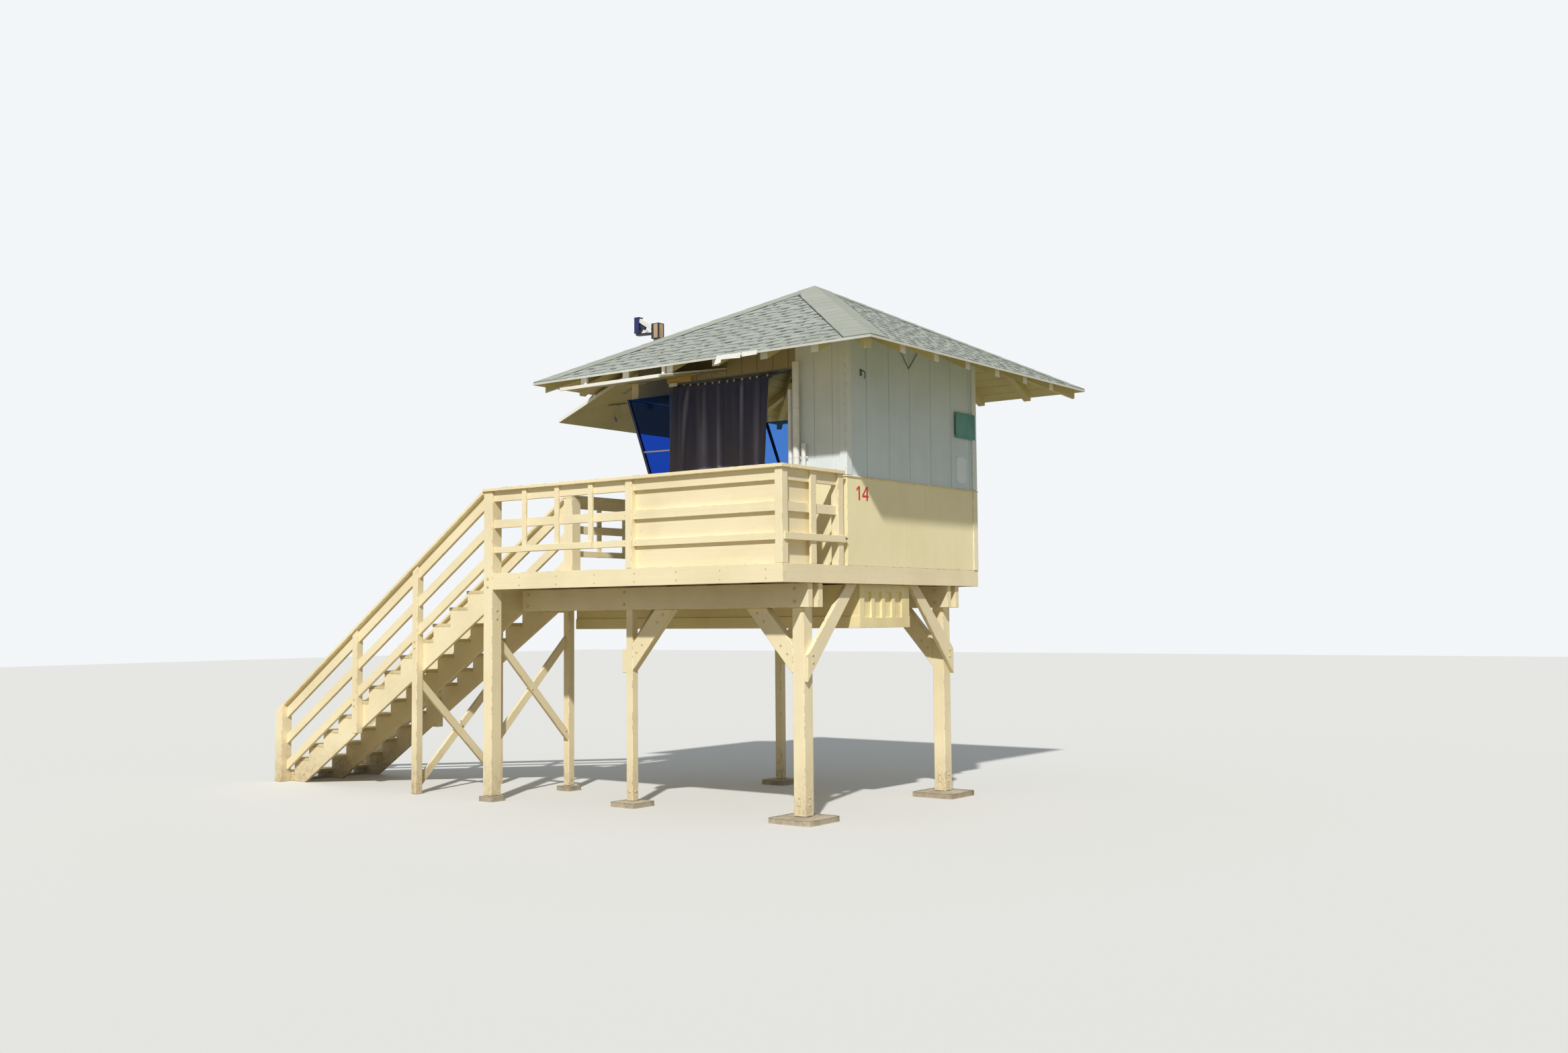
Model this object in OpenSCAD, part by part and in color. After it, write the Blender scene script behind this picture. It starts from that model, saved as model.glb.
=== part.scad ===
// Lifeguard tower: a timber hut with a hipped shingle roof on a raised, railed deck.
// Millimetres, +Z up, +X along the long face away from the stair, +Y away from the walkway.
// Every size below is laid out from the near right corner of the deck and the level floor.
// The whole tower is then moved so that the middle of its outline stands on the origin.

/* [Deck] */
// height of the underside of the rim boards over the floor
floor_h = 2300; // [2200:10:2500]
// deck length along X
deck_l = 4136; // [4050:1:4300]
// deck depth along Y
deck_d = 3640; // [3560:10:3800]
// height of the rim boards
rim_h = 180; // [170:1:200]
// thickness of sawn boards
board_t = 38; // [34:1:42]
// thickness of the deck boards
deck_t = 38; // [30:1:42]
// clearance between boards of one kind
fit = 0.3; // [0.2:0.1:0.6]

/* [Legs] */
// width of the square main legs and newels
leg_w = 140; // [130:1:150]
// width of the slender legs and rail posts
post_w = 90; // [84:1:96]
// distance of the right legs from the right rim face
leg_in = 130; // [100:1:160]
// distance of the middle legs from the right rim face
mid_in = 2400; // [2300:10:2500]
// centre line of the near row of legs
row_near = 570; // [540:5:620]
// centre line of the far row of legs
row_far = 3150; // [3050:5:3200]
// height of the floor beams
beam_h = 235; // [210:1:250]
// thickness of each beam ply
beam_ply = 76; // [60:1:80]
// distance of the beam ends from the left rim face
beam_in = 136; // [100:1:180]
// thickness of the pads
pad_h = 60; // [50:1:80]
// width of the pads under the main legs
pad_big = 520; // [480:10:560]
// width of the pads under the middle legs
pad_mid = 340; // [300:10:380]
// width of the pads under the stair head
pad_small = 210; // [180:10:240]

/* [Bracing] */
// height of a knee brace foot under the rim boards
knee_drop = 880; // [840:5:920]
// depth of a knee brace measured plumb
knee_h = 290; // [260:5:320]
// thickness of a knee brace
knee_t = 89; // [76:1:89]
// reach of a knee brace along the beam
knee_x = 575; // [540:5:620]
// reach of a knee brace across the deck
knee_y = 740; // [700:5:780]
// depth of the thin crossed braces measured plumb
cross_h = 125; // [100:1:130]

/* [Locker] */
// depth of the locker under the deck
lock_h = 450; // [420:5:480]
// width of the locker along Y
lock_w = 1150; // [1100:10:1200]
// distance of the locker from the near rim face
lock_y = 1500; // [1450:10:1540]
// distance of its slotted end from the right rim face
lock_in = 300; // [280:10:340]
// thickness of the locker boards
lock_t = 20; // [18:1:24]
// width of a vent slot
slot_w = 110; // [90:1:120]
// height of a vent slot
slot_h = 240; // [200:5:260]

/* [Railing] */
// top of the rail cap over the deck
guard_h = 938; // [900:1:980]
// width of the flat rail cap
cap_w = 140; // [130:1:150]
// overhang of the cap past the rim face
cap_over = 25; // [20:1:30]
// length of the boarded panel and its two posts
panel_l = 2010; // [1900:10:2100]
// thickness of the panel board
panel_t = 12; // [9:1:18]
// length of the panel's return beside the walkway end
return_l = 430; // [300:10:560]
// width of a baluster
baluster_w = 64; // [50:1:76]
// thickness of the low boards nailed on the outside
low_board_t = 20; // [16:1:26]
// length of the rail beside the hut wall
side_rail = 1005; // [960:5:1040]
// gap between the far rail and the hut
far_gap = 30; // [24:1:60]
// underside of the middle rail over the deck
mid_rail = 494; // [460:1:530]
// underside of the low rail over the deck
low_rail = 222; // [200:1:250]
// height of the top rail under the cap
top_rail_h = 113; // [89:1:120]
// height of the middle rail
mid_rail_h = 92; // [80:1:100]
// height of the low rail
low_rail_h = 68; // [60:1:90]

/* [Hut] */
// depth of the walkway in front of the hut
walk_d = 1071; // [1040:1:1100]
// hut length along X at the sill
hut_l = 2610; // [2560:1:2660]
// wall thickness
wall_t = 100; // [90:1:120]
// inset of the upper wall from the lower wall
upper_in = 14; // [10:1:20]
// top of the lower wall over the deck
sill_h = 887; // [860:1:920]
// outward lean of the sea window at its head
lean = 390; // [350:1:420]
// width of the wall to the right of the opening
pier_w = 640; // [600:1:680]
// width of the side pane at the sill
pane_w = 280; // [240:1:320]
// width of the doorway
door_w = 820; // [760:10:860]
// height of the lintel over the opening, under the eave edge
head_in = 22; // [10:1:40]
// underside of the window header, under the eave edge
pane_in = 142; // [120:1:160]
// width of the window frame bars
frame_w = 34; // [28:1:40]
// thickness of a pane
glass_t = 8; // [6:1:10]
// width of the corner boards
trim_w = 70; // [60:1:90]
// thickness of the corner boards
trim_t = 18; // [14:1:22]
// height of the ledge on the lower wall
ledge_h = 20; // [16:1:30]
// how far the ledge stands out from the lower wall
ledge_out = 12; // [8:1:20]

/* [Roof] */
// roof overhang past the lower walls
overhang = 915; // [890:1:940]
// top of the eave edge over the underside of the rim
eave_h = 2262; // [2230:1:2300]
// rise of the roof from eave to apex
roof_rise = 1138; // [1100:1:1180]
// thickness of the shingle layer
cover_t = 16; // [12:1:20]
// thickness of the sheathing
sheath_t = 20; // [16:1:24]
// rafter depth measured plumb
rafter_h = 95; // [85:1:105]
// rafter width
rafter_w = 89; // [76:1:95]
// rafter spacing
rafter_step = 610; // [580:1:620]
// hip rafter depth measured plumb
hip_h = 130; // [120:1:140]
// hip rafter width
hip_w = 64; // [50:1:76]
// distance of the rafter tails from the eave edge
tail_in = 85; // [70:1:100]
// depth of the notch that seats a rafter on its wall
seat_cut = 24; // [15:1:30]

/* [Shutters] */
// thickness of the shutters
shutter_t = 36; // [30:1:40]
// width of the near shutter along X
near_w = 1404; // [1350:1:1450]
// reach of the near shutter from the wall
near_reach = 1085; // [1050:1:1110]
// drop of the near shutter over its reach
near_fall = 205; // [190:1:230]
// height of the near shutter hinge over the eave edge
near_hinge = 30; // [20:1:40]
// reach of the sea shutter from the header
sea_reach = 1061; // [1020:1:1090]
// drop of the sea shutter over its reach
sea_fall = 410; // [390:1:430]
// height of the sea shutter hinge over the eave edge
sea_hinge = 98; // [80:1:110]
// width of a shutter prop
prop_w = 30; // [24:1:36]

/* [Curtain] */
// radius of the curtain rod
rod_r = 10; // [8:1:12]
// drop of the rod under the lintel
rod_in = 26; // [20:1:34]
// thickness of the hanging cloth
cloth_t = 40; // [30:1:50]
// width of the cloth along X
cloth_w = 1330; // [1200:10:1400]
// radius of the thick tube beside the opening
tube_r = 36; // [30:1:40]
// radius of the two thin tubes
thin_r = 23; // [18:1:28]
// spacing of the tubes
tube_gap = 12; // [8:1:16]
// height of the short tube over the lower wall
tube_low = 367; // [340:1:400]
// height of the middle tube over the lower wall
tube_high = 933; // [900:1:960]

/* [Stair] */
// rise of one step
step_rise = 182; // [180:1:184]
// run of one step
step_run = 290; // [280:1:296]
// number of treads
treads = 13; // [11:1:13]
// outer face of the far stringer from the near rim face
stair_w = 1220; // [1180:10:1260]
// thickness of the board that carries the stringers
ledger_t = 76; // [60:1:80]
// thickness of a tread
tread_t = 38; // [34:1:42]
// how far a tread stands past its riser line
nosing = 20; // [10:1:25]
// plumb depth of a stringer under its first tread
throat = 211; // [200:1:230]
// drop of the stair cap under the level cap
cap_drop = 23; // [15:1:40]
// plumb depth of the sloped cap
scap_h = 46; // [40:1:50]
// distance of the first stair post from the ledger
post_1 = 1090; // [1040:10:1140]
// distance of the hung post from the ledger
post_2 = 2190; // [2140:10:2240]
// distance of the bottom newel from the last tread front
foot_in = 152; // [130:1:180]
// plumb height of a sloped rail
srail_h = 120; // [100:1:130]
// plumb spacing of the sloped rails
srail_step = 322; // [300:1:335]

/* [Hidden] */
deck_z = floor_h + rim_h;
cap_z = deck_z + guard_h;
rail_top = cap_z - board_t;
beam_z = floor_h - beam_h;
beam_off = post_w / 2;
eave_z = floor_h + eave_h;
sill_z = deck_z + sill_h;
head_z = eave_z - head_in;
pane_z = eave_z - pane_in;

// legs
a_x = -leg_in - leg_w / 2;
c_x = -mid_in - post_w / 2;
newel_x = -deck_l + leg_w / 2;
leg_x = -deck_l + post_w / 2;
leg_y = stair_w + post_w / 2;
newel_y = stair_w + leg_w / 2;

// roof
roof_x0 = -hut_l - overhang;
roof_x1 = overhang;
roof_y0 = walk_d - overhang;
roof_y1 = deck_d + overhang;
roof_cx = (roof_x0 + roof_x1) / 2;
roof_cy = (roof_y0 + roof_y1) / 2;
half_x = (roof_x1 - roof_x0) / 2;
half_y = (roof_y1 - roof_y0) / 2;
diag = sqrt(half_x * half_x + half_y * half_y);
slope_x = roof_rise / half_x;
slope_y = roof_rise / half_y;
slope_d = roof_rise / diag;
under_t = cover_t + sheath_t;
under_z = eave_z - under_t;
plate_x = under_z + (overhang + upper_in) * slope_x - rafter_h + seat_cut;
plate_y = under_z + (overhang + upper_in) * slope_y - rafter_h + seat_cut;
grow = 50;

// hut
open_x1 = -pier_w;
open_x0 = -hut_l + pane_w;
wall_y0 = walk_d + upper_in;
wall_y1 = deck_d - upper_in;
head_x = -hut_l - lean;
plate_s = under_z + (head_x - roof_x0) * slope_x - rafter_h + seat_cut;
function lean_x(z) = -hut_l - (z - sill_z) * lean / (pane_z - sill_z);

// stair
stair_x0 = -deck_l - ledger_t;
stair_x1 = stair_x0 - treads * step_run;
function step_x(k) = stair_x0 - k * step_run;
function step_z(k) = deck_z - k * step_rise;
pitch = step_rise / step_run;
f_x = stair_x0 - post_1;
g_x = stair_x0 - post_2;
n_x = stair_x1 + foot_in;
srail_slope = 0.665;
srail_x0 = -deck_l;
srail_x1 = n_x - leg_w / 2 - 40;
function srail_z(x) = cap_z - cap_drop + (x - srail_x0) * srail_slope;

// outline and placing
tower_x0 = stair_x1 - nosing;
tower_x1 = roof_x1;
tower_y0 = min(-cap_over, (leg_w - pad_small) / 2);
tower_y1 = roof_y1;
move_x = -(tower_x0 + tower_x1) / 2;
move_y = -(tower_y0 + tower_y1) / 2;

CREAM = [0.95, 0.89, 0.70];
WHITE = [0.93, 0.93, 0.90];
GREY = [0.62, 0.63, 0.56];
DARK = [0.16, 0.17, 0.20];
GLASS = [0.08, 0.16, 0.42];
STONE = [0.72, 0.66, 0.56];
TIMBER = [0.62, 0.54, 0.42];

// box between two corners
module bx(x0, x1, y0, y1, z0, z1) {
  translate([min(x0, x1), min(y0, y1), min(z0, z1)])
    cube([abs(x1 - x0), abs(y1 - y0), abs(z1 - z0)]);
}

// square upright centred on x, y
module upright(x, y, w, z0, z1) {
  bx(x - w / 2, x + w / 2, y - w / 2, y + w / 2, z0, z1);
}

// plate with its outline in the XZ plane, from y towards +Y
module plate_xz(y, t, pts) {
  translate([0, y + t, 0])
    rotate([90, 0, 0])
      linear_extrude(height = t)
        polygon(pts);
}

// plate with its outline in the YZ plane, from x towards +X
module plate_yz(x, t, pts) {
  translate([x, 0, 0])
    rotate([90, 0, 90])
      linear_extrude(height = t)
        polygon(pts);
}

// whole tower placed on the origin
module placed() {
  translate([move_x, move_y, 0]) children();
}

// concrete pads on the floor
module pad(x, y, w) {
  upright(x, y, w, 0, pad_h);
}

module footings() {
  color(STONE) placed() {
    for (y = [row_near, row_far]) {
      pad(a_x, y, pad_big);
      pad(c_x, y, pad_mid);
    }
    pad(newel_x, leg_w / 2, pad_small);
    pad(leg_x, leg_y, pad_small);
  }
}

// leg with a tenon that stands between the two plies of its beam
module tenon_leg(x, y, w) {
  upright(x, y, w, pad_h, beam_z);
  bx(x - w / 2, x + w / 2, y - beam_off, y + beam_off, beam_z, floor_h);
}

module main_legs() {
  color(CREAM) placed()
    for (y = [row_near, row_far]) {
      tenon_leg(a_x, y, leg_w);
      tenon_leg(c_x, y, post_w);
    }
}

module beam_pair(y) {
  for (s = [-1, 1])
    bx(-deck_l + beam_in, -board_t, y + s * beam_off, y + s * (beam_off + beam_ply), beam_z, floor_h);
}

module floor_beams() {
  color(CREAM) placed()
    for (y = [row_near, row_far]) beam_pair(y);
}

// knee brace along the beam, its face flush with the leg face at y
module knee_along(x_leg, y, s) {
  knee_z = floor_h - knee_drop;
  low_run = knee_x;
  up_run = low_run - knee_h * knee_x / (knee_drop - beam_h);
  plate_xz(y, knee_t, [
    [x_leg, knee_z],
    [x_leg, knee_z + knee_h],
    [x_leg + s * up_run, beam_z],
    [x_leg + s * low_run, beam_z]
  ]);
}

// knee brace across the deck, its face flush with the leg face at x
module knee_across(x, y_leg, s) {
  knee_z = floor_h - knee_drop;
  up_run = knee_y * (1 - knee_h / knee_drop);
  plate_yz(x, knee_t, [
    [y_leg, knee_z],
    [y_leg, knee_z + knee_h],
    [y_leg + s * up_run, floor_h],
    [y_leg + s * knee_y, floor_h]
  ]);
}

module knee_braces() {
  color(CREAM) placed() {
    for (y = [row_near - leg_w / 2, row_far - leg_w / 2]) knee_along(a_x - leg_w / 2, y, -1);
    for (y = [row_near - post_w / 2, row_far - post_w / 2]) knee_along(c_x + post_w / 2, y, 1);
    knee_across(a_x + leg_w / 2 - knee_t, row_near + leg_w / 2, 1);
    knee_across(a_x + leg_w / 2 - knee_t, row_far - leg_w / 2, -1);
    knee_across(c_x - knee_t / 2, row_near + post_w / 2, 1);
  }
}

// thin crossed braces under the stair, one each side of the plane x
module cross_pair(x, y0, y1, z_a0, z_a1, z_b0, z_b1) {
  plate_yz(x + fit / 2, board_t,
    [[y0, z_a0], [y1, z_a1], [y1, z_a1 - cross_h], [y0, z_a0 - cross_h]]);
  plate_yz(x - board_t - fit / 2, board_t,
    [[y0, z_b0], [y1, z_b1], [y1, z_b1 - cross_h], [y0, z_b0 - cross_h]]);
}

cross_top = 480;
cross_gap = 60;
head_cross = 1130;
foot_cross = 1120;
module cross_braces() {
  z_d = floor_h - cross_top;
  z_f = step_z(1) - tread_t - throat - post_1 * pitch - cross_gap;
  color(CREAM) placed() {
    cross_pair(leg_x, leg_w, stair_w, z_d, z_d - head_cross, z_d - head_cross, z_d - board_t);
    cross_pair(f_x, post_w, stair_w, z_f, z_f - foot_cross, z_f - foot_cross, z_f);
  }
}

// joists run from the near rim to the far rim, one over each line of legs
joist_bays = 4;
joist_step = (a_x - c_x) / joist_bays;
joists_n = floor((deck_l + a_x - leg_w) / joist_step);
module joists() {
  color(TIMBER) placed()
    for (i = [0 : joists_n]) {
      x = a_x - i * joist_step;
      bx(x - board_t / 2, x + board_t / 2, board_t, deck_d - board_t, floor_h, deck_z - deck_t);
    }
}

module rim_boards() {
  color(CREAM) placed() {
    bx(-deck_l + leg_w, 0, 0, board_t, floor_h, deck_z);
    bx(-board_t, 0, board_t + fit, deck_d, floor_h, deck_z);
    bx(-deck_l, -board_t - fit, deck_d - board_t, deck_d, floor_h, deck_z);
    bx(-deck_l, -deck_l + board_t, leg_w, deck_d - board_t - fit, floor_h, deck_z);
  }
}

// deep board that carries the stringers
module stair_ledger() {
  color(CREAM) placed()
    bx(-deck_l - ledger_t, -deck_l, post_w, stair_w + post_w, step_z(1) - tread_t - throat, deck_z);
}

module deck_floor() {
  color(CREAM) placed()
    difference() {
      bx(-deck_l + board_t, -board_t, board_t, deck_d - board_t, deck_z - deck_t, deck_z);
      bx(-deck_l, -deck_l + leg_w, 0, leg_w, floor_h, cap_z);
    }
}

// locker hung under the deck: bottom, long sides and ends, arched vent slots in the right end
slots = 4;
slot_pitch = (lock_w - 2 * lock_t) / slots;
module slot_shape() {
  translate([-slot_w / 2, -slot_h]) square([slot_w, slot_h - slot_w / 2]);
  translate([0, -slot_w / 2]) circle(d = slot_w, $fn = 32);
}

module under_locker() {
  lx0 = -deck_l + board_t;
  lx1 = -lock_in;
  z0 = floor_h - lock_h;
  ly0 = lock_y + lock_t + fit;
  ly1 = lock_y + lock_w - lock_t - fit;
  slot_z = floor_h - (lock_h - slot_h) / 2;
  color(CREAM) placed() {
    bx(lx0, lx1, lock_y, lock_y + lock_t, z0, floor_h);
    bx(lx0, lx1, lock_y + lock_w - lock_t, lock_y + lock_w, z0, floor_h);
    bx(lx0, lx1, ly0, ly1, z0, z0 + lock_t);
    bx(lx0, lx0 + lock_t, ly0, ly1, z0 + lock_t + fit, floor_h);
    difference() {
      bx(lx1 - lock_t, lx1, ly0, ly1, z0 + lock_t + fit, floor_h);
      for (i = [0 : slots - 1])
        translate([lx1 - 2 * lock_t, lock_y + lock_t + slot_pitch * (i + 0.5), slot_z])
          rotate([90, 0, 90])
            linear_extrude(height = 3 * lock_t)
              slot_shape();
    }
  }
}

// railing
rail_y = 26;
main_x = -panel_l + post_w / 2;
side_y = side_rail - post_w / 2;
far_x = -hut_l - far_gap - post_w / 2;
module rail_posts() {
  color(CREAM) placed() {
    upright(-post_w / 2, post_w / 2, post_w, deck_z, rail_top);
    upright(main_x, post_w / 2, post_w, deck_z, rail_top);
    upright(-post_w / 2, side_y, post_w, deck_z, rail_top);
    upright(-deck_l + post_w / 2, deck_d - post_w / 2, post_w, deck_z, rail_top);
    upright(far_x, deck_d - post_w / 2, post_w, deck_z, rail_top);
  }
}

// stair head newels: the near one is one timber from its pad to the cap
module stair_newels() {
  color(CREAM) placed() {
    upright(newel_x, leg_w / 2, leg_w, pad_h, rail_top);
    upright(newel_x, newel_y, leg_w, deck_z, rail_top);
    upright(leg_x, leg_y, post_w, pad_h, floor_h);
  }
}

rail_rows = [
  [guard_h - board_t - top_rail_h, top_rail_h],
  [mid_rail, mid_rail_h],
  [low_rail, low_rail_h]
];

// level rails between two posts
module rails_x(x0, x1, y) {
  for (r = rail_rows) bx(x0, x1, y, y + board_t, deck_z + r[0], deck_z + r[0] + r[1]);
}

module rails_y(y0, y1, x) {
  for (r = rail_rows) bx(x, x + board_t, y0, y1, deck_z + r[0], deck_z + r[0] + r[1]);
}

module guard_rails() {
  color(CREAM) placed() {
    rails_x(-deck_l + leg_w, main_x - post_w / 2, rail_y);
    rails_x(main_x + post_w / 2, -post_w, rail_y);
    rails_y(post_w, side_y - post_w / 2, -rail_y - board_t);
    rails_y(newel_y + leg_w / 2, deck_d - post_w, -deck_l + rail_y);
    rails_x(-deck_l + post_w, far_x - post_w / 2, deck_d - rail_y - board_t);
    bx(near_bar_x(1) + baluster_w / 2, near_bar_x(near_bars) + baluster_w / 2, -low_board_t, 0,
      low_bar_z, low_bar_z + low_rail_h);
    bx(0, low_board_t, post_w / 5, side_y + post_w * 4 / 5, low_bar_z, low_bar_z + low_rail_h);
  }
}

// boarded panel behind the near rails, with a short return behind the side rails
panel_in = rail_y + board_t;
module rail_panel() {
  color(CREAM) placed() {
    bx(main_x + post_w / 2, -post_w, panel_in, panel_in + panel_t, deck_z, rail_top);
    bx(-panel_in - panel_t, -panel_in, post_w, post_w + return_l, deck_z, rail_top);
  }
}

// flat balusters nailed on the rails, flush with the posts, n of them spread between two posts
near_bars = 3;
left_bars = 4;
far_bars = 3;
low_bar_z = deck_z + low_rail;
open_l = main_x - post_w / 2 + deck_l - leg_w;
function near_bar_x(i) = main_x - post_w / 2 - i * open_l / (near_bars + 1);
module flat_bar(x, y, wx, wy, z0) {
  bx(x - wx / 2, x + wx / 2, y - wy / 2, y + wy / 2, z0, rail_top);
}

module balusters() {
  left_l = deck_d - post_w - newel_y - leg_w / 2;
  far_l = far_x - post_w / 2 + deck_l - post_w;
  color(CREAM) placed() {
    for (i = [1 : near_bars])
      flat_bar(near_bar_x(i), rail_y / 2, baluster_w, rail_y, low_bar_z);
    flat_bar(-rail_y / 2, (side_y + post_w / 2) / 2, rail_y, post_w, deck_z);
    for (i = [1 : left_bars])
      flat_bar(-deck_l + rail_y / 2, newel_y + leg_w / 2 + i * left_l / (left_bars + 1), rail_y,
        baluster_w, low_bar_z);
    for (i = [1 : far_bars])
      flat_bar(-deck_l + post_w + i * far_l / (far_bars + 1), deck_d - rail_y / 2, baluster_w,
        rail_y, low_bar_z);
  }
}

module rail_caps() {
  cap_in = cap_w - cap_over;
  color(CREAM) placed() {
    bx(-deck_l, cap_over, -cap_over, cap_in, rail_top, cap_z);
    bx(-cap_in, cap_over, cap_in + fit, side_y + post_w / 2, rail_top, cap_z);
    bx(-deck_l - cap_over, -deck_l + cap_in, newel_y - leg_w / 2, deck_d + cap_over, rail_top, cap_z);
    bx(-deck_l + cap_in + fit, far_x + post_w / 2, deck_d - cap_in, deck_d + cap_over, rail_top, cap_z);
  }
}

// sawtooth stringer
low_z = step_z(1) - tread_t - throat;
saw = [for (k = [1 : treads], s = [-1, 0]) [step_x(k + s), step_z(k) - tread_t]];
module stringer(y) {
  plate_xz(y, board_t, concat(saw, [
    [step_x(treads), 0],
    [stair_x0 - low_z / pitch, 0],
    [stair_x0, low_z]
  ]));
}

module stair_stringers() {
  color(CREAM) placed() {
    stringer(post_w);
    stringer((post_w + stair_w - board_t) / 2);
    stringer(stair_w - board_t);
  }
}

module stair_treads() {
  color(CREAM) placed()
    for (k = [1 : treads])
      bx(step_x(k) - nosing, step_x(k - 1), post_w + fit, stair_w - fit, step_z(k) - tread_t, step_z(k));
}

// plumb post with its top cut to the slope of the cap
module raked_post(x, y, w, z0) {
  plate_xz(y, w, [
    [x - w / 2, z0],
    [x + w / 2, z0],
    [x + w / 2, srail_z(x + w / 2) - scap_h],
    [x - w / 2, srail_z(x - w / 2) - scap_h]
  ]);
}

module stair_posts() {
  g_z = low_z - (post_2 + post_w / 2) * pitch;
  color(CREAM) placed() {
    for (y = [0, stair_w]) {
      raked_post(f_x, y, post_w, 0);
      raked_post(g_x, y, post_w, g_z);
    }
    raked_post(n_x, post_w - leg_w, leg_w, 0);
    raked_post(n_x, stair_w, leg_w, 0);
  }
}

// sloped board between two plumb cuts, its top drop below the cap top
module raked_board(x0, x1, y, t, drop, h) {
  plate_xz(y, t, [
    [x0, srail_z(x0) - drop],
    [x1, srail_z(x1) - drop],
    [x1, srail_z(x1) - drop - h],
    [x0, srail_z(x0) - drop - h]
  ]);
}

module rail_bay(x0, x1, y) {
  top_h = srail_h + 34;
  raked_board(x0, x1, y, board_t, scap_h, top_h);
  for (i = [1, 2]) raked_board(x0, x1, y, board_t, scap_h + top_h - srail_h + i * srail_step, srail_h);
}

module stair_rails() {
  ends = [srail_x0, f_x + post_w / 2, f_x - post_w / 2, g_x + post_w / 2, g_x - post_w / 2,
    n_x + leg_w / 2];
  color(CREAM) placed()
    for (y = [rail_y, stair_w + rail_y], i = [0, 2, 4])
      rail_bay(ends[i], ends[i + 1], y);
}

module stair_caps() {
  color(CREAM) placed()
    for (y = [-cap_over, stair_w - cap_over])
      raked_board(srail_x0 - fit, srail_x1, y, cap_w, 0, scap_h);
}

// roof body below a hipped surface, grown by m past the eaves
module roof_solid(drop, m) {
  ex = eave_z - drop - m * slope_x;
  ey = eave_z - drop - m * slope_y;
  low = deck_z;
  apex = eave_z + roof_rise - drop;
  intersection() {
    plate_xz(roof_y0 - m, 2 * half_y + 2 * m, [
      [roof_x0 - m, low], [roof_x0 - m, ex], [roof_cx, apex], [roof_x1 + m, ex], [roof_x1 + m, low]
    ]);
    plate_yz(roof_x0 - m, 2 * half_x + 2 * m, [
      [roof_y0 - m, low], [roof_y0 - m, ey], [roof_cy, apex], [roof_y1 + m, ey], [roof_y1 + m, low]
    ]);
  }
}

// plan wedge of one slope, i = 0 right, 1 far, 2 sea, 3 near
module slope_wedge(i) {
  hx = half_x * 1.1;
  hy = half_y * 1.1;
  corners = [
    [[fit, 0], [fit + hx, -hy], [fit + hx, hy]],
    [[0, fit], [hx, fit + hy], [-hx, fit + hy]],
    [[-fit, 0], [-fit - hx, hy], [-fit - hx, -hy]],
    [[0, -fit], [-hx, -fit - hy], [hx, -fit - hy]]
  ];
  translate([roof_cx, roof_cy, deck_z])
    linear_extrude(height = eave_h + roof_rise)
      polygon(corners[i]);
}

// layer of the roof between two depths, mitred at the hips into four slopes
module roof_layer(top, bottom) {
  for (i = [0 : 3])
    intersection() {
      difference() {
        roof_solid(top, 0);
        roof_solid(bottom, grow);
      }
      slope_wedge(i);
    }
}

module roof_shingles() {
  color(GREY) placed() roof_layer(0, cover_t);
}

module roof_sheathing() {
  color(CREAM) placed() roof_layer(cover_t, under_t);
}

// common and jack rafters of one pair of slopes, raised by up where they cut other pieces
cut_up = 60;
rafter_pairs = 3;
offsets = [for (i = [0 : rafter_pairs - 1], s = [-1, 1]) s * (i + 0.5) * rafter_step];
module bars_x(up) {
  for (o = offsets, s = [-1, 1]) {
    r1 = half_x - tail_in;
    r0 = abs(o) * half_x / half_y;
    plate_xz(roof_cy + o - rafter_w / 2, rafter_w, [
      [roof_cx + s * r0, under_z + roof_rise - r0 * slope_x + up],
      [roof_cx + s * r1, under_z + roof_rise - r1 * slope_x + up],
      [roof_cx + s * r1, under_z + roof_rise - r1 * slope_x - rafter_h],
      [roof_cx + s * r0, under_z + roof_rise - r0 * slope_x - rafter_h]
    ]);
  }
}

module bars_y(up) {
  for (o = offsets, s = [-1, 1]) {
    r1 = half_y - tail_in;
    r0 = abs(o) * half_y / half_x;
    plate_yz(roof_cx + o - rafter_w / 2, rafter_w, [
      [roof_cy + s * r0, under_z + roof_rise - r0 * slope_y + up],
      [roof_cy + s * r1, under_z + roof_rise - r1 * slope_y + up],
      [roof_cy + s * r1, under_z + roof_rise - r1 * slope_y - rafter_h],
      [roof_cy + s * r0, under_z + roof_rise - r0 * slope_y - rafter_h]
    ]);
  }
}

// hip rafters, widened by m and raised by up where they cut other pieces
module hip_bars(m, up) {
  w = hip_w + 2 * m;
  r0 = hip_w * 0.6 - m;
  r1 = diag - tail_in * 1.6 + m;
  z0 = under_z + roof_rise - r0 * slope_d;
  z1 = under_z + roof_rise - r1 * slope_d;
  for (sx = [-1, 1], sy = [-1, 1])
    translate([roof_cx, roof_cy, 0])
      rotate([0, 0, atan2(sy * half_y, sx * half_x)])
        plate_xz(-w / 2, w,
          [[r0, z0 + up], [r1, z1 + up], [r1, z1 - hip_h - m], [r0, z0 - hip_h - m]]);
}

// what the rafters sit on, up to their notched seats
module wall_seats() {
  bx(-wall_t, -upper_in, wall_y0, wall_y1, deck_z, plate_x);
  bx(-hut_l, -upper_in, wall_y0, walk_d + wall_t, deck_z, plate_y);
  bx(-hut_l, -upper_in, deck_d - wall_t, wall_y1, deck_z, plate_y);
  bx(head_x, head_x + wall_t, wall_y0, wall_y1, deck_z, plate_s);
}

// rafters over the sea shutter stop at the header so that the shutter can swing up
module shutter_room() {
  bx(roof_x0, head_x - fit, walk_d - fit, deck_d + fit, deck_z, eave_z + roof_rise);
}

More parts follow.
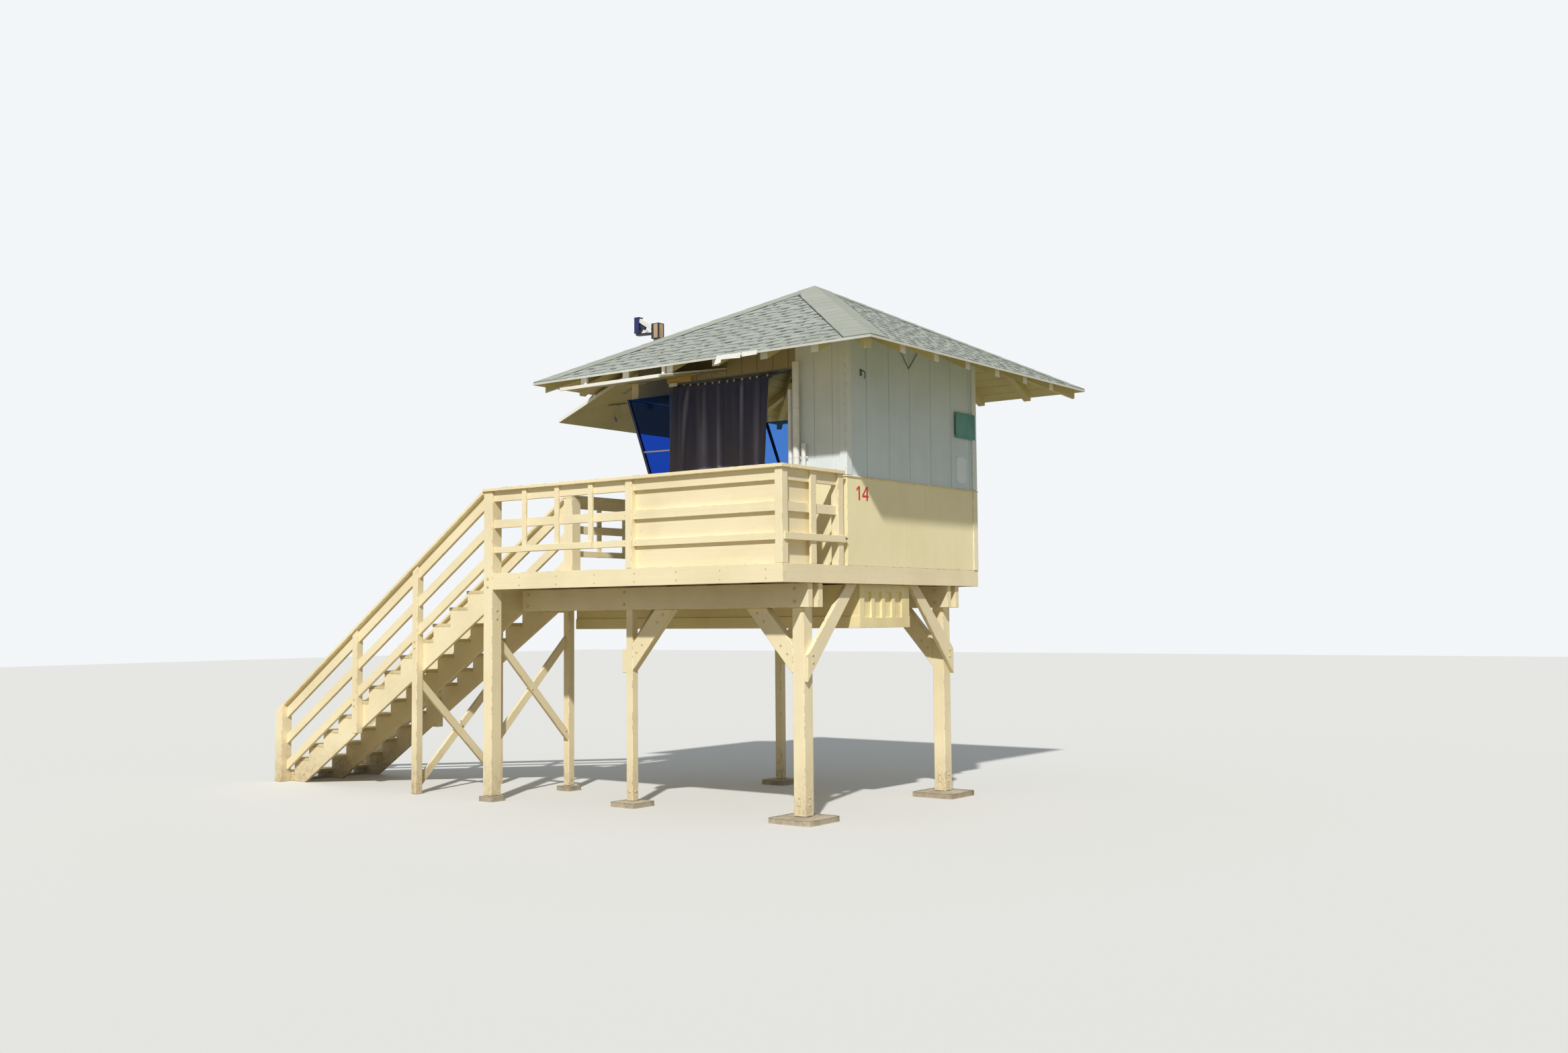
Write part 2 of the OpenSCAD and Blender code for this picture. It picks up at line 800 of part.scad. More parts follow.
module rafters() {
  color(CREAM) placed()
    difference() {
      union() {
        bars_x(0);
        bars_y(0);
      }
      hip_bars(fit, cut_up);
      wall_seats();
      shutter_room();
    }
}

module hip_rafters() {
  color(CREAM) placed()
    difference() {
      intersection() {
        hip_bars(0, 0);
        roof_solid(under_t, 0);
      }
      wall_seats();
    }
}

// takes the rafter sockets out of a wall top and trims it under the sheathing
module under_roof() {
  difference() {
    intersection() {
      children();
      roof_solid(under_t, 0);
    }
    difference() {
      union() {
        bars_x(cut_up);
        bars_y(cut_up);
        hip_bars(0, cut_up);
      }
      wall_seats();
    }
  }
}

top_z = eave_z + roof_rise;

// lower walls
module right_wall() {
  color(CREAM) placed()
    bx(-wall_t, 0, walk_d, deck_d, deck_z, sill_z);
}

module near_wall() {
  color(CREAM) placed() {
    bx(open_x1, -wall_t, walk_d, walk_d + wall_t, deck_z, sill_z);
    bx(-hut_l, open_x1 - door_w, walk_d, walk_d + wall_t, deck_z, sill_z);
  }
}

module far_wall() {
  color(CREAM) placed()
    bx(-hut_l, -wall_t, deck_d - wall_t, deck_d, deck_z, sill_z);
}

module sea_wall() {
  color(CREAM) placed()
    bx(-hut_l, -hut_l + wall_t, walk_d + wall_t, deck_d - wall_t, deck_z, sill_z);
}

// upper walls
module right_wall_upper() {
  color(WHITE) placed()
    under_roof() bx(-wall_t, -upper_in, wall_y0, wall_y1, sill_z, top_z);
}

module near_wall_upper() {
  color(WHITE) placed()
    under_roof() bx(open_x1, -wall_t, wall_y0, walk_d + wall_t, sill_z, top_z);
}

module lintel() {
  color(WHITE) placed()
    under_roof() bx(open_x0, open_x1, wall_y0, walk_d + wall_t, head_z, top_z);
}

module far_wall_upper() {
  color(WHITE) placed()
    under_roof() bx(open_x0, -wall_t, deck_d - wall_t, wall_y1, sill_z, top_z);
}

// headers over the leaning window and its side panes
module window_headers() {
  color(CREAM) placed() {
    for (y = [wall_y0, deck_d - wall_t])
      under_roof() bx(head_x, open_x0, y, y + wall_t - upper_in, pane_z, top_z);
    under_roof()
      bx(head_x, head_x + wall_t, walk_d + wall_t + fit, deck_d - wall_t - fit, pane_z, top_z);
  }
}

// leaning bar from the sill to the header
module lean_bar(y) {
  plate_xz(y, frame_w, [
    [-hut_l, sill_z],
    [head_x, pane_z],
    [head_x + frame_w, pane_z],
    [-hut_l + frame_w, sill_z]
  ]);
}

mid_y = (wall_y0 + wall_y1) / 2;
module window_frames() {
  color(DARK) placed() {
    lean_bar(wall_y0);
    lean_bar(mid_y - frame_w / 2);
    lean_bar(wall_y1 - frame_w);
    for (y = [wall_y0, wall_y1 - frame_w])
      bx(open_x0 - frame_w, open_x0, y, y + frame_w, sill_z, pane_z);
  }
}

module side_pane(y) {
  plate_xz(y, glass_t, [
    [-hut_l + frame_w, sill_z],
    [head_x + frame_w, pane_z],
    [open_x0 - frame_w, pane_z],
    [open_x0 - frame_w, sill_z]
  ]);
}

module front_pane(y0, y1) {
  x_in = (frame_w - glass_t) / 2;
  plate_xz(y0, y1 - y0, [
    [-hut_l + x_in, sill_z],
    [head_x + x_in, pane_z],
    [head_x + x_in + glass_t, pane_z],
    [-hut_l + x_in + glass_t, sill_z]
  ]);
}

module window_panes() {
  color(GLASS) placed() {
    side_pane(wall_y0 + (frame_w - glass_t) / 2);
    side_pane(wall_y1 - (frame_w + glass_t) / 2);
    front_pane(wall_y0 + frame_w, mid_y - frame_w / 2);
    front_pane(mid_y + frame_w / 2, wall_y1 - frame_w);
  }
}

// corner boards of the upper wall and the block over the side pane
block_w = 340;
block_h = 74;
module wall_trims() {
  z0 = sill_z + ledge_h;
  color(WHITE) placed() {
    under_roof() bx(-upper_in, trim_t - upper_in, wall_y0 - trim_t, wall_y0 + trim_w, z0, top_z);
    under_roof() bx(-upper_in - trim_w, -upper_in - fit, wall_y0 - trim_t, wall_y0, z0, top_z);
    under_roof() bx(-upper_in, trim_t - upper_in, wall_y1 - trim_w, wall_y1 + trim_t, z0, top_z);
    under_roof() bx(-upper_in - trim_w, -upper_in - fit, wall_y1, wall_y1 + trim_t, z0, top_z);
    bx(open_x0 - frame_w, open_x0 - frame_w + block_w, wall_y0 - board_t, wall_y0,
      head_z - block_h / 2, head_z + block_h / 2);
  }
}

// weathered ledge on top of the lower wall
module wall_ledge() {
  side = [[-upper_in, 0], [ledge_out, 0], [ledge_out, ledge_h / 2], [-upper_in, ledge_h]];
  color(CREAM) placed() {
    translate([0, deck_d + ledge_out, sill_z])
      rotate([90, 0, 0])
        linear_extrude(height = deck_d - walk_d + 2 * ledge_out)
          polygon(side);
    translate([open_x1, walk_d, sill_z])
      rotate([90, 0, 90])
        linear_extrude(height = pier_w - upper_in - fit)
          polygon([for (p = side) [-p[0], p[1]]]);
  }
}

// shutters propped open
near_x0 = head_x + 48;
near_hz = eave_z + near_hinge;
module near_shutter() {
  color(WHITE) placed()
    plate_yz(near_x0, near_w, [
      [wall_y0, near_hz],
      [wall_y0 - near_reach, near_hz - near_fall],
      [wall_y0 - near_reach, near_hz - near_fall + shutter_t],
      [wall_y0, near_hz + shutter_t]
    ]);
}

sea_hz = eave_z + sea_hinge;
module sea_shutter() {
  color(CREAM) placed()
    plate_xz(walk_d, deck_d - walk_d, [
      [head_x, sea_hz],
      [head_x - sea_reach, sea_hz - sea_fall],
      [head_x - sea_reach, sea_hz - sea_fall + shutter_t],
      [head_x, sea_hz + shutter_t]
    ]);
}

// short hangers from the eave to the near shutter and to the ends of the sea shutter
near_hang = 44;
hang_foot = 640;
hang_in = 8;
function sea_top(x) = sea_hz + shutter_t + fit + (x - head_x) * sea_fall / sea_reach;
function soffit(x) = under_z - fit + (x - roof_x0) * slope_x;
module sea_hanger(y) {
  x0 = head_x - hang_foot;
  x1 = roof_x0 + hang_in;
  plate_xz(y, prop_w, [
    [x0, sea_top(x0)],
    [x0 + prop_w, sea_top(x0 + prop_w)],
    [x1 + prop_w, soffit(x1 + prop_w)],
    [x1, soffit(x1)]
  ]);
}

function near_top(y) = near_hz + shutter_t + fit - (wall_y0 - y) * near_fall / near_reach;
function soffit_y(y) = under_z - fit + (y - roof_y0) * slope_y;
module near_hanger(x) {
  y0 = roof_y0 + near_hang;
  y1 = y0 + prop_w;
  plate_yz(x, prop_w, [[y0, near_top(y0)], [y1, near_top(y1)], [y1, soffit_y(y1)], [y0, soffit_y(y0)]]);
}

module shutter_props() {
  color(WHITE) placed() {
    near_hanger(roof_cx - 2.5 * rafter_step + rafter_w / 2 + fit);
    near_hanger(roof_cx - 0.5 * rafter_step - rafter_w / 2 - fit - prop_w);
    sea_hanger(walk_d);
    sea_hanger(deck_d - prop_w);
  }
}

// curtain on its rod between the header end and the wall beside the opening
rod_y = walk_d + wall_t / 2 + 4;
rod_z = head_z - rod_in;
module curtain_rod() {
  color(WHITE) placed()
    translate([open_x0, rod_y, rod_z])
      rotate([0, 90, 0])
        cylinder(h = open_x1 - open_x0, r = rod_r, $fn = 24);
}

module curtain() {
  color(DARK) placed()
    bx(open_x0 + fit, open_x0 + cloth_w, rod_y - cloth_t / 2, rod_y + cloth_t / 2,
      sill_z + 25, rod_z - rod_r - fit);
}

// white tubes standing on the deck against the wall beside the opening
module tube(x, r, h) {
  translate([x, walk_d - ledge_out - r - fit, deck_z]) cylinder(h = h, r = r, $fn = 32);
}

module wall_tubes() {
  color(WHITE) placed() {
    tube(open_x1 + tube_r + tube_gap, tube_r, eave_h - rim_h + tube_gap);
    tube(open_x1 + 2 * tube_r + thin_r + 3 * tube_gap, thin_r, sill_h + tube_low);
    tube(open_x1 - thin_r - tube_gap, thin_r, sill_h + tube_high);
  }
}

// small lamp and sensor boxes on a short pole on the sea slope of the roof
pole_x = roof_x0 + 675;
pole_y = roof_y0 + 1234;
pole_r = 16;
pole_h = 318;
arm_l = 349;
arm_t = 24;
lamp_w = 76;
lamp_h = 186;
box_w = 110;
box_d = 96;
box_h = 174;
box_low = 93;
box_x = pole_x + 45;
module roof_lamp() {
  foot_z = eave_z + (pole_x - roof_x0) * slope_x;
  arm_z = foot_z + pole_h;
  arm_x = box_x + box_w / 2 - arm_l;
  color(DARK) placed()
    difference() {
      union() {
        translate([pole_x, pole_y, foot_z - pole_r]) cylinder(h = pole_h + pole_r, r = pole_r, $fn = 24);
        bx(arm_x, arm_x + arm_l, pole_y - arm_t / 2, pole_y + arm_t / 2, arm_z, arm_z + arm_t);
        bx(arm_x - lamp_w / 2, arm_x + lamp_w / 2, pole_y - lamp_w / 2, pole_y + lamp_w / 2,
          arm_z, arm_z + lamp_h);
        bx(box_x - box_w / 2, box_x + box_w / 2, pole_y - box_d / 2, pole_y + box_d / 2,
          arm_z - box_low, arm_z - box_low + box_h);
      }
      roof_solid(0, 0);
    }
}

footings();
main_legs();
floor_beams();
knee_braces();
cross_braces();
joists();
rim_boards();
stair_ledger();
deck_floor();
under_locker();
rail_posts();
stair_newels();
guard_rails();
rail_panel();
balusters();
rail_caps();
stair_stringers();
stair_treads();
stair_posts();
stair_rails();
stair_caps();
right_wall();
near_wall();
far_wall();
sea_wall();
right_wall_upper();
near_wall_upper();
lintel();
far_wall_upper();
window_headers();
window_frames();
window_panes();
wall_trims();
wall_ledge();
near_shutter();
sea_shutter();
shutter_props();
curtain_rod();
curtain();
wall_tubes();
rafters();
hip_rafters();
roof_sheathing();
roof_shingles();
roof_lamp();
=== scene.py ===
import bpy, bmesh, random
from math import cos, exp, pi, radians, sin
from mathutils import Vector, Matrix


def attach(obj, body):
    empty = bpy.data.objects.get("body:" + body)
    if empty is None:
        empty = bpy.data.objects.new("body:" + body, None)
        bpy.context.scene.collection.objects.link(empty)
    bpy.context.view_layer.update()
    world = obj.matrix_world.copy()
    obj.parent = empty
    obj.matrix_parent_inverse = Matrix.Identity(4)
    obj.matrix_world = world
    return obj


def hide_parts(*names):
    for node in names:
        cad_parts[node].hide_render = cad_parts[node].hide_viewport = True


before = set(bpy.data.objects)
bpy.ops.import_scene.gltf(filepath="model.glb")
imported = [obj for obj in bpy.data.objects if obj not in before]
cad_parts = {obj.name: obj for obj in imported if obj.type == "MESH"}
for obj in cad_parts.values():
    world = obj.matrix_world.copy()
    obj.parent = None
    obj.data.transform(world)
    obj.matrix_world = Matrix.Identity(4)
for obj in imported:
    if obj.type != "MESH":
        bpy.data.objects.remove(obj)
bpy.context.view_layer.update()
random.seed(7)
uniform = random.uniform

# Places are written in metres from the near right deck corner, which stands at MX, MY in the frame:
# x along the long face, y to the back, and heights from the floor.
MX, MY = 3.5435, -2.26
DECK, SILL, EAVE, HEAD, PANE = 2.48, 3.367, 4.562, 4.54, 4.42
WALL_Y, WALL_FAR, HEAD_X = 1.085, 3.626, -3.0
BOARD = 0.038
LEG_ROWS, LEG_X, POST_X, STAIR_X = (0.57, 3.15), -0.2, -2.445, -4.212
JOIST_STEP, RISER, RUN = 0.56125, 0.182, 0.29
# the roof's edges and height, its middle and half widths
RX0, RX1, RY0, RY1, RISE = -3.525, 0.915, 0.156, 4.555, 1.138
RCX, RCY, HX, HY = -1.305, 2.3555, 2.22, 2.1995
# the sea flap hangs by FLAP_K for each metre out, the near one by NEAR_K
FLAP_K, NEAR_K = 0.41 / 1.061, 0.205 / 1.085
ROD_Y, ROD_Z, ROD_X0, ROD_X1 = 1.125, 4.514, -2.3297, -0.6403
UP, NEAR, FAR, LEFT, RIGHT = (0, 0, 1), (0, -1, 0), (0, 1, 0), (-1, 0, 0), (1, 0, 0)
M = {}


def P(x, y, z):
    return Vector((x + MX, y + MY, z))


def rgb(r, g, b):
    f = lambda c: c / 255 / 12.92 if c <= 10 else ((c / 255 + 0.055) / 1.055) ** 2.4
    return (f(r), f(g), f(b), 1.0)


def shade(c, k):
    return (c[0] * k, c[1] * k, c[2] * k, 1.0)


def add(name, data):
    ob = bpy.data.objects.new(name, data)
    bpy.context.scene.collection.objects.link(ob)
    return ob


def add_mesh(name, bm):
    me = bpy.data.meshes.new(name)
    bm.to_mesh(me)
    bm.free()
    return add(name, me)


# ---- nodes
class Tree:
    def __init__(self, tree):
        self.t = tree
        tree.nodes.clear()

    def set(self, sock, val):
        if isinstance(val, bpy.types.NodeSocket):
            self.t.links.new(val, sock)
        else:
            sock.default_value = val

    def node(self, kind, ins={}, **props):
        """new node with its inputs linked or set"""
        n = self.t.nodes.new(kind)
        for k, v in props.items():
            setattr(n, k, v)
        for k, v in ins.items():
            self.set(n.inputs[k], v)
        return n

    def math(self, op, a, b):
        return self.node("ShaderNodeMath", {0: a, 1: b}, operation=op, use_clamp=True).outputs[0]

    def mul(self, a, b):
        return self.math("MULTIPLY", a, b)

    def seen(self):
        """1 for what the camera sees, also in gloss and glass"""
        ray = self.node("ShaderNodeLightPath").outputs
        a = self.math("MAXIMUM", ray["Is Camera Ray"], ray["Is Glossy Ray"])
        return self.math("MAXIMUM", a, ray["Is Transmission Ray"])


class Mat(Tree):
    """a material kept in M, with its shader in b"""
    def __init__(self, name):
        self.m = M[name] = bpy.data.materials.new(name)
        self.m.use_nodes = True
        super().__init__(self.m.node_tree)
        self.b = self.node("ShaderNodeBsdfPrincipled")
        self.node("ShaderNodeOutputMaterial", {0: self.b.outputs[0]})

    def put(self, name, val):
        self.set(self.b.inputs[name], val)

    def look(self, *vals):
        for name, val in zip(("Base Color", "Roughness", "Normal"), vals):
            self.put(name, val)

    def attr(self, name, out="Fac"):
        return self.node("ShaderNodeAttribute", attribute_name=name).outputs[out]

    def obj(self):
        return self.node("ShaderNodeTexCoord").outputs["Object"]

    def noise(self, vec, scale, detail=3.0, rough=0.5, dist=0.0):
        """noise of one scale, or of a scale along each axis"""
        if isinstance(scale, tuple):
            vec, scale = self.node("ShaderNodeMapping", {"Vector": vec, "Scale": scale}).outputs[0], 1.0
        ins = {"Vector": vec, "Scale": scale, "Detail": detail, "Roughness": rough, "Distortion": dist}
        return self.node("ShaderNodeTexNoise", ins).outputs[0]

    def wave(self, vec, scale, bands="X"):
        ins = {"Vector": vec, "Scale": scale, "Distortion": 0.4, "Detail": 2.0}
        return self.node("ShaderNodeTexWave", ins, bands_direction=bands).outputs["Fac"]

    def map(self, fac, a, b, hi=1.0, lo=0.0):
        return self.node("ShaderNodeMapRange", dict(enumerate((fac, a, b, lo, hi)))).outputs[0]

    def mix(self, fac, a, b):
        return self.node("ShaderNodeMix", {0: fac, 6: a, 7: b}, data_type="RGBA").outputs[2]

    def z(self, vec):
        return self.node("ShaderNodeSeparateXYZ", {0: vec}).outputs[2]

    def bump(self, height, dist, strength=1.0, under=None):
        ins = {"Strength": strength, "Distance": dist, "Height": height}
        if under is not None:
            ins["Normal"] = under
        return self.node("ShaderNodeBump", ins).outputs[0]


# ---- camera, light and floor
def make_camera():
    """the camera that was solved from the photograph; focal length and width in its pixels"""
    az, pitch, roll = (radians(v) for v in (37.179, 3.529, 0.486))
    focal, width, sensor = 2229.5, 2334.0, 36.0
    fwd = Vector((-sin(az) * cos(pitch), cos(az) * cos(pitch), sin(pitch)))
    right = Vector((cos(az), sin(az), 0.0))
    down = fwd.cross(right)
    cam = bpy.data.cameras.new("camera")
    cam.sensor_fit = "HORIZONTAL"
    cam.sensor_width = sensor
    cam.lens = sensor * focal / width
    cam.clip_end = 200.0
    across = right * cos(roll) + down * sin(roll)
    upright = right * sin(roll) - down * cos(roll)
    m = Matrix((across, upright, -fwd)).transposed().to_4x4()
    m.translation = P(8.464, -11.133, 1.956)
    ob = bpy.context.scene.camera = add("camera", cam)
    ob.matrix_world = m


def make_light():
    key = bpy.data.lights.new("key_light", "SUN")
    key.energy, key.angle, key.color = 3.35, radians(1.6), (1.0, 0.985, 0.96)
    towards = Vector((0.384, -0.65, 0.656))
    add("key_light", key).rotation_euler = towards.to_track_quat("Z", "Y").to_euler()
    world = bpy.context.scene.world = bpy.data.worlds.new("studio")
    world.use_nodes = True
    k = Tree(world.node_tree)
    # what lights the tower, and what is seen behind it
    lit, back = (k.node("ShaderNodeBackground", {0: col, 1: power}).outputs[0] for col, power in
                 (((0.86, 0.94, 1.0, 1), 0.35), ((0.9, 0.92, 0.94, 1), 1.0)))
    pick = k.node("ShaderNodeMixShader", {0: k.seen(), 1: lit, 2: back})
    k.node("ShaderNodeOutputWorld", {0: pick.outputs[0]})
    bpy.context.scene.view_settings.view_transform = "Standard"


def make_floor():
    bm = bmesh.new()
    bmesh.ops.create_grid(bm, x_segments=1, y_segments=1, size=60.0)
    ob = add_mesh("floor", bm)
    k = Mat("floor_pale")
    # pale where it is seen, while it throws less light back up at the eaves
    k.look(k.mix(k.seen(), rgb(156, 146, 116), rgb(226, 225, 221)), 0.95)
    ob.data.materials.append(k.m)


# ---- materials
def paint(name, col, grime, rough, chip, dirt, foot=0.0, wood=rgb(150, 118, 78)):
    """brushed paint over sawn timber: long grain, faded clouds, worn edges, chips, and splashes up to foot"""
    k = Mat(name)
    b, o = k.attr("board", "Vector"), k.obj()
    tone, edge = k.attr("tone"), k.attr("edge")
    grain = k.noise(b, (1.4, 30, 30), 5, 0.6)
    fine = k.noise(b, (9, 190, 190), 3)
    cloud = k.noise(o, 1.3, 5, 0.6)
    spots = k.noise(o, 11.0, 5, 0.65)
    flakes = k.noise(b, (16, 60, 60), 4, 0.7)
    c = k.mix(k.map(grain, 0.35, 0.75, 0.55), col, shade(col, 0.9))
    c = k.mix(k.map(cloud, 0.42, 0.78, dirt), c, grime)
    c = k.mix(k.map(tone, -1, 1, 0.16), c, shade(col, 0.84))
    wear = k.mul(edge, k.map(spots, 0.5, 0.6))
    chips = k.mul(k.map(flakes, 0.66, 0.72, chip), k.map(spots, 0.52, 0.62))
    if foot:
        low = k.map(k.z(o), 0.05, foot, 0.0, 1.0)
        low = k.mul(low, k.map(spots, 0.25, 0.75, 1.0, 0.25))
        c = k.mix(k.mul(low, 0.55), c, rgb(150, 122, 84))
        chips = k.math("MAXIMUM", chips, k.mul(low, k.map(flakes, 0.56, 0.62)))
    gone = k.math("MAXIMUM", k.mul(wear, 0.6), chips)
    rub = k.math("ADD", gone, k.mul(grain, 0.3))
    n = k.bump(fine, 0.0009, 0.35, k.bump(grain, 0.0022, 0.45))
    k.look(k.mix(gone, c, wood), k.map(rub, 0, 1, rough + 0.25, rough - 0.08),
           k.bump(k.math("SUBTRACT", 1.0, gone), 0.0015, 0.5, n))


def timber(name, col, dark, rough=0.75):
    """bare wood with long rings and fine grain, greyed in places"""
    k = Mat(name)
    b, o, tone = k.attr("board", "Vector"), k.obj(), k.attr("tone")
    rings = k.noise(b, (0.9, 16, 16), 6, 0.62, 0.6)
    fine = k.noise(b, (6, 170, 170), 4, 0.6)
    c = k.mix(k.map(rings, 0.35, 0.68), col, dark)
    c = k.mix(k.map(fine, 0.4, 0.8, 0.5), c, shade(dark, 0.7))
    c = k.mix(k.map(tone, -1, 1, 0.3), c, shade(col, 0.75))
    grey = k.map(k.noise(o, 2.2, 4), 0.45, 0.8, 0.4)
    k.look(k.mix(grey, c, rgb(126, 120, 108)), rough, k.bump(fine, 0.0012, 0.5, k.bump(rings, 0.002, 0.4)))


def mineral(name, col, dark):
    """roofing grains: each tab its own tone, with patches and clouds, and painted shade on its butt"""
    k = Mat(name)
    b, o, tone = k.attr("board", "Vector"), k.obj(), k.attr("tone")
    grit = k.noise(o, 330.0, 2, 0.7)
    patch = k.noise(b, (5, 9, 5), 4, 0.6)
    cloud = k.noise(o, 0.9, 4, 0.55)
    c = k.mix(k.map(tone, -1, 1, 0.8), col, dark)
    c = k.mix(k.map(patch, 0.45, 0.7, 0.35), c, shade(col, 1.12))
    c = k.mix(k.map(cloud, 0.45, 0.72, 0.35), c, rgb(138, 146, 128))
    c = k.mix(k.map(grit, 0.42, 0.62, 0.4), c, shade(dark, 0.7))
    # painted shade on the butts
    butt = k.mul(k.attr("edge"), 0.7)
    k.look(k.mix(butt, c, shade(dark, 0.36)), 0.93, k.bump(grit, 0.0012, 0.7))


def concrete(name):
    k = Mat(name)
    o = k.obj()
    big, mid, fine = k.noise(o, 4.0, 5, 0.6), k.noise(o, 26.0, 5, 0.7), k.noise(o, 190.0, 3, 0.6)
    c = k.mix(k.map(big, 0.38, 0.66), rgb(190, 178, 156), rgb(154, 140, 118))
    c = k.mix(k.map(mid, 0.55, 0.72, 0.6), c, rgb(112, 102, 86))
    c = k.mix(k.map(fine, 0.5, 0.8, 0.5), c, rgb(222, 210, 186))
    k.look(c, 0.94, k.bump(fine, 0.002, 0.6, k.bump(mid, 0.006, 0.6)))


def metal(name, col, rough, rust, metallic):
    k = Mat(name)
    o = k.obj()
    n = k.noise(o, 45.0, 4, 0.6)
    c = k.mix(k.map(n, 0.4, 0.7, 0.5), col, shade(col, 0.7))
    spots = k.map(k.noise(o, 120.0, 4, 0.7), 0.55, 0.72, rust)
    c = k.mix(spots, c, rgb(128, 78, 44))
    k.look(c, k.map(n, 0.3, 0.8, rough + 0.2, rough - 0.08), k.bump(n, 0.0006, 0.3))
    k.put("Metallic", metallic)


def plastic(name, col, rough, dirt):
    k = Mat(name)
    o = k.obj()
    n, s = k.noise(o, 6.0, 5, 0.6), k.noise(o, (60, 60, 6), 3)
    c = k.mix(k.map(n, 0.45, 0.75, dirt), col, shade(col, 0.72))
    c = k.mix(k.map(s, 0.55, 0.8, dirt), c, rgb(150, 138, 112))
    k.look(c, k.map(n, 0.3, 0.8, rough + 0.2, rough - 0.1), k.bump(s, 0.0004, 0.3))


def glass(name):
    k, tint = Mat(name), (0.07, 0.22, 0.64, 1)
    o = k.obj()
    haze = k.noise(o, 3.0, 5, 0.6)
    c = k.mix(k.map(haze, 0.45, 0.8, 0.25), tint, shade(tint, 0.8))
    k.look(c, k.map(haze, 0.4, 0.8, 0.05, 0.01), k.bump(k.noise(o, 1.5, 2), 0.001, 0.05))
    k.put("Transmission Weight", 1.0)
    k.put("IOR", 1.15)


def cloth(name, top, bottom):
    """woven threads, with painted highlights along the folds that come forward, lighter and greyer towards the
    hem
    """
    k = Mat(name)
    b, o = k.attr("board", "Vector"), k.obj()
    warp, weft = k.wave(b, 260.0), k.wave(b, 230.0, "Z")
    weave = k.math("ADD", k.mul(warp, 0.5), k.mul(weft, 0.5))
    cloud = k.noise(b, (3, 3, 1.2), 5, 0.6)
    low = k.math("ADD", k.map(k.z(o), 3.45, 4.35, 0.0, 0.9), k.map(cloud, 0.4, 0.7, 0.3))
    c = k.mix(low, top, bottom)
    c = k.mix(k.map(weave, 0.2, 0.9, 0.35), c, shade(top, 1.9))
    # painted highlight on the folds that come forward, read from the tone
    c = k.mix(k.map(k.attr("tone"), 0.3, 1.2, 0.8), c, rgb(142, 140, 172))
    k.look(c, 0.88, k.bump(weave, 0.0006, 0.5, k.bump(cloud, 0.004, 0.3)))
    k.put("Sheen Weight", 0.25)


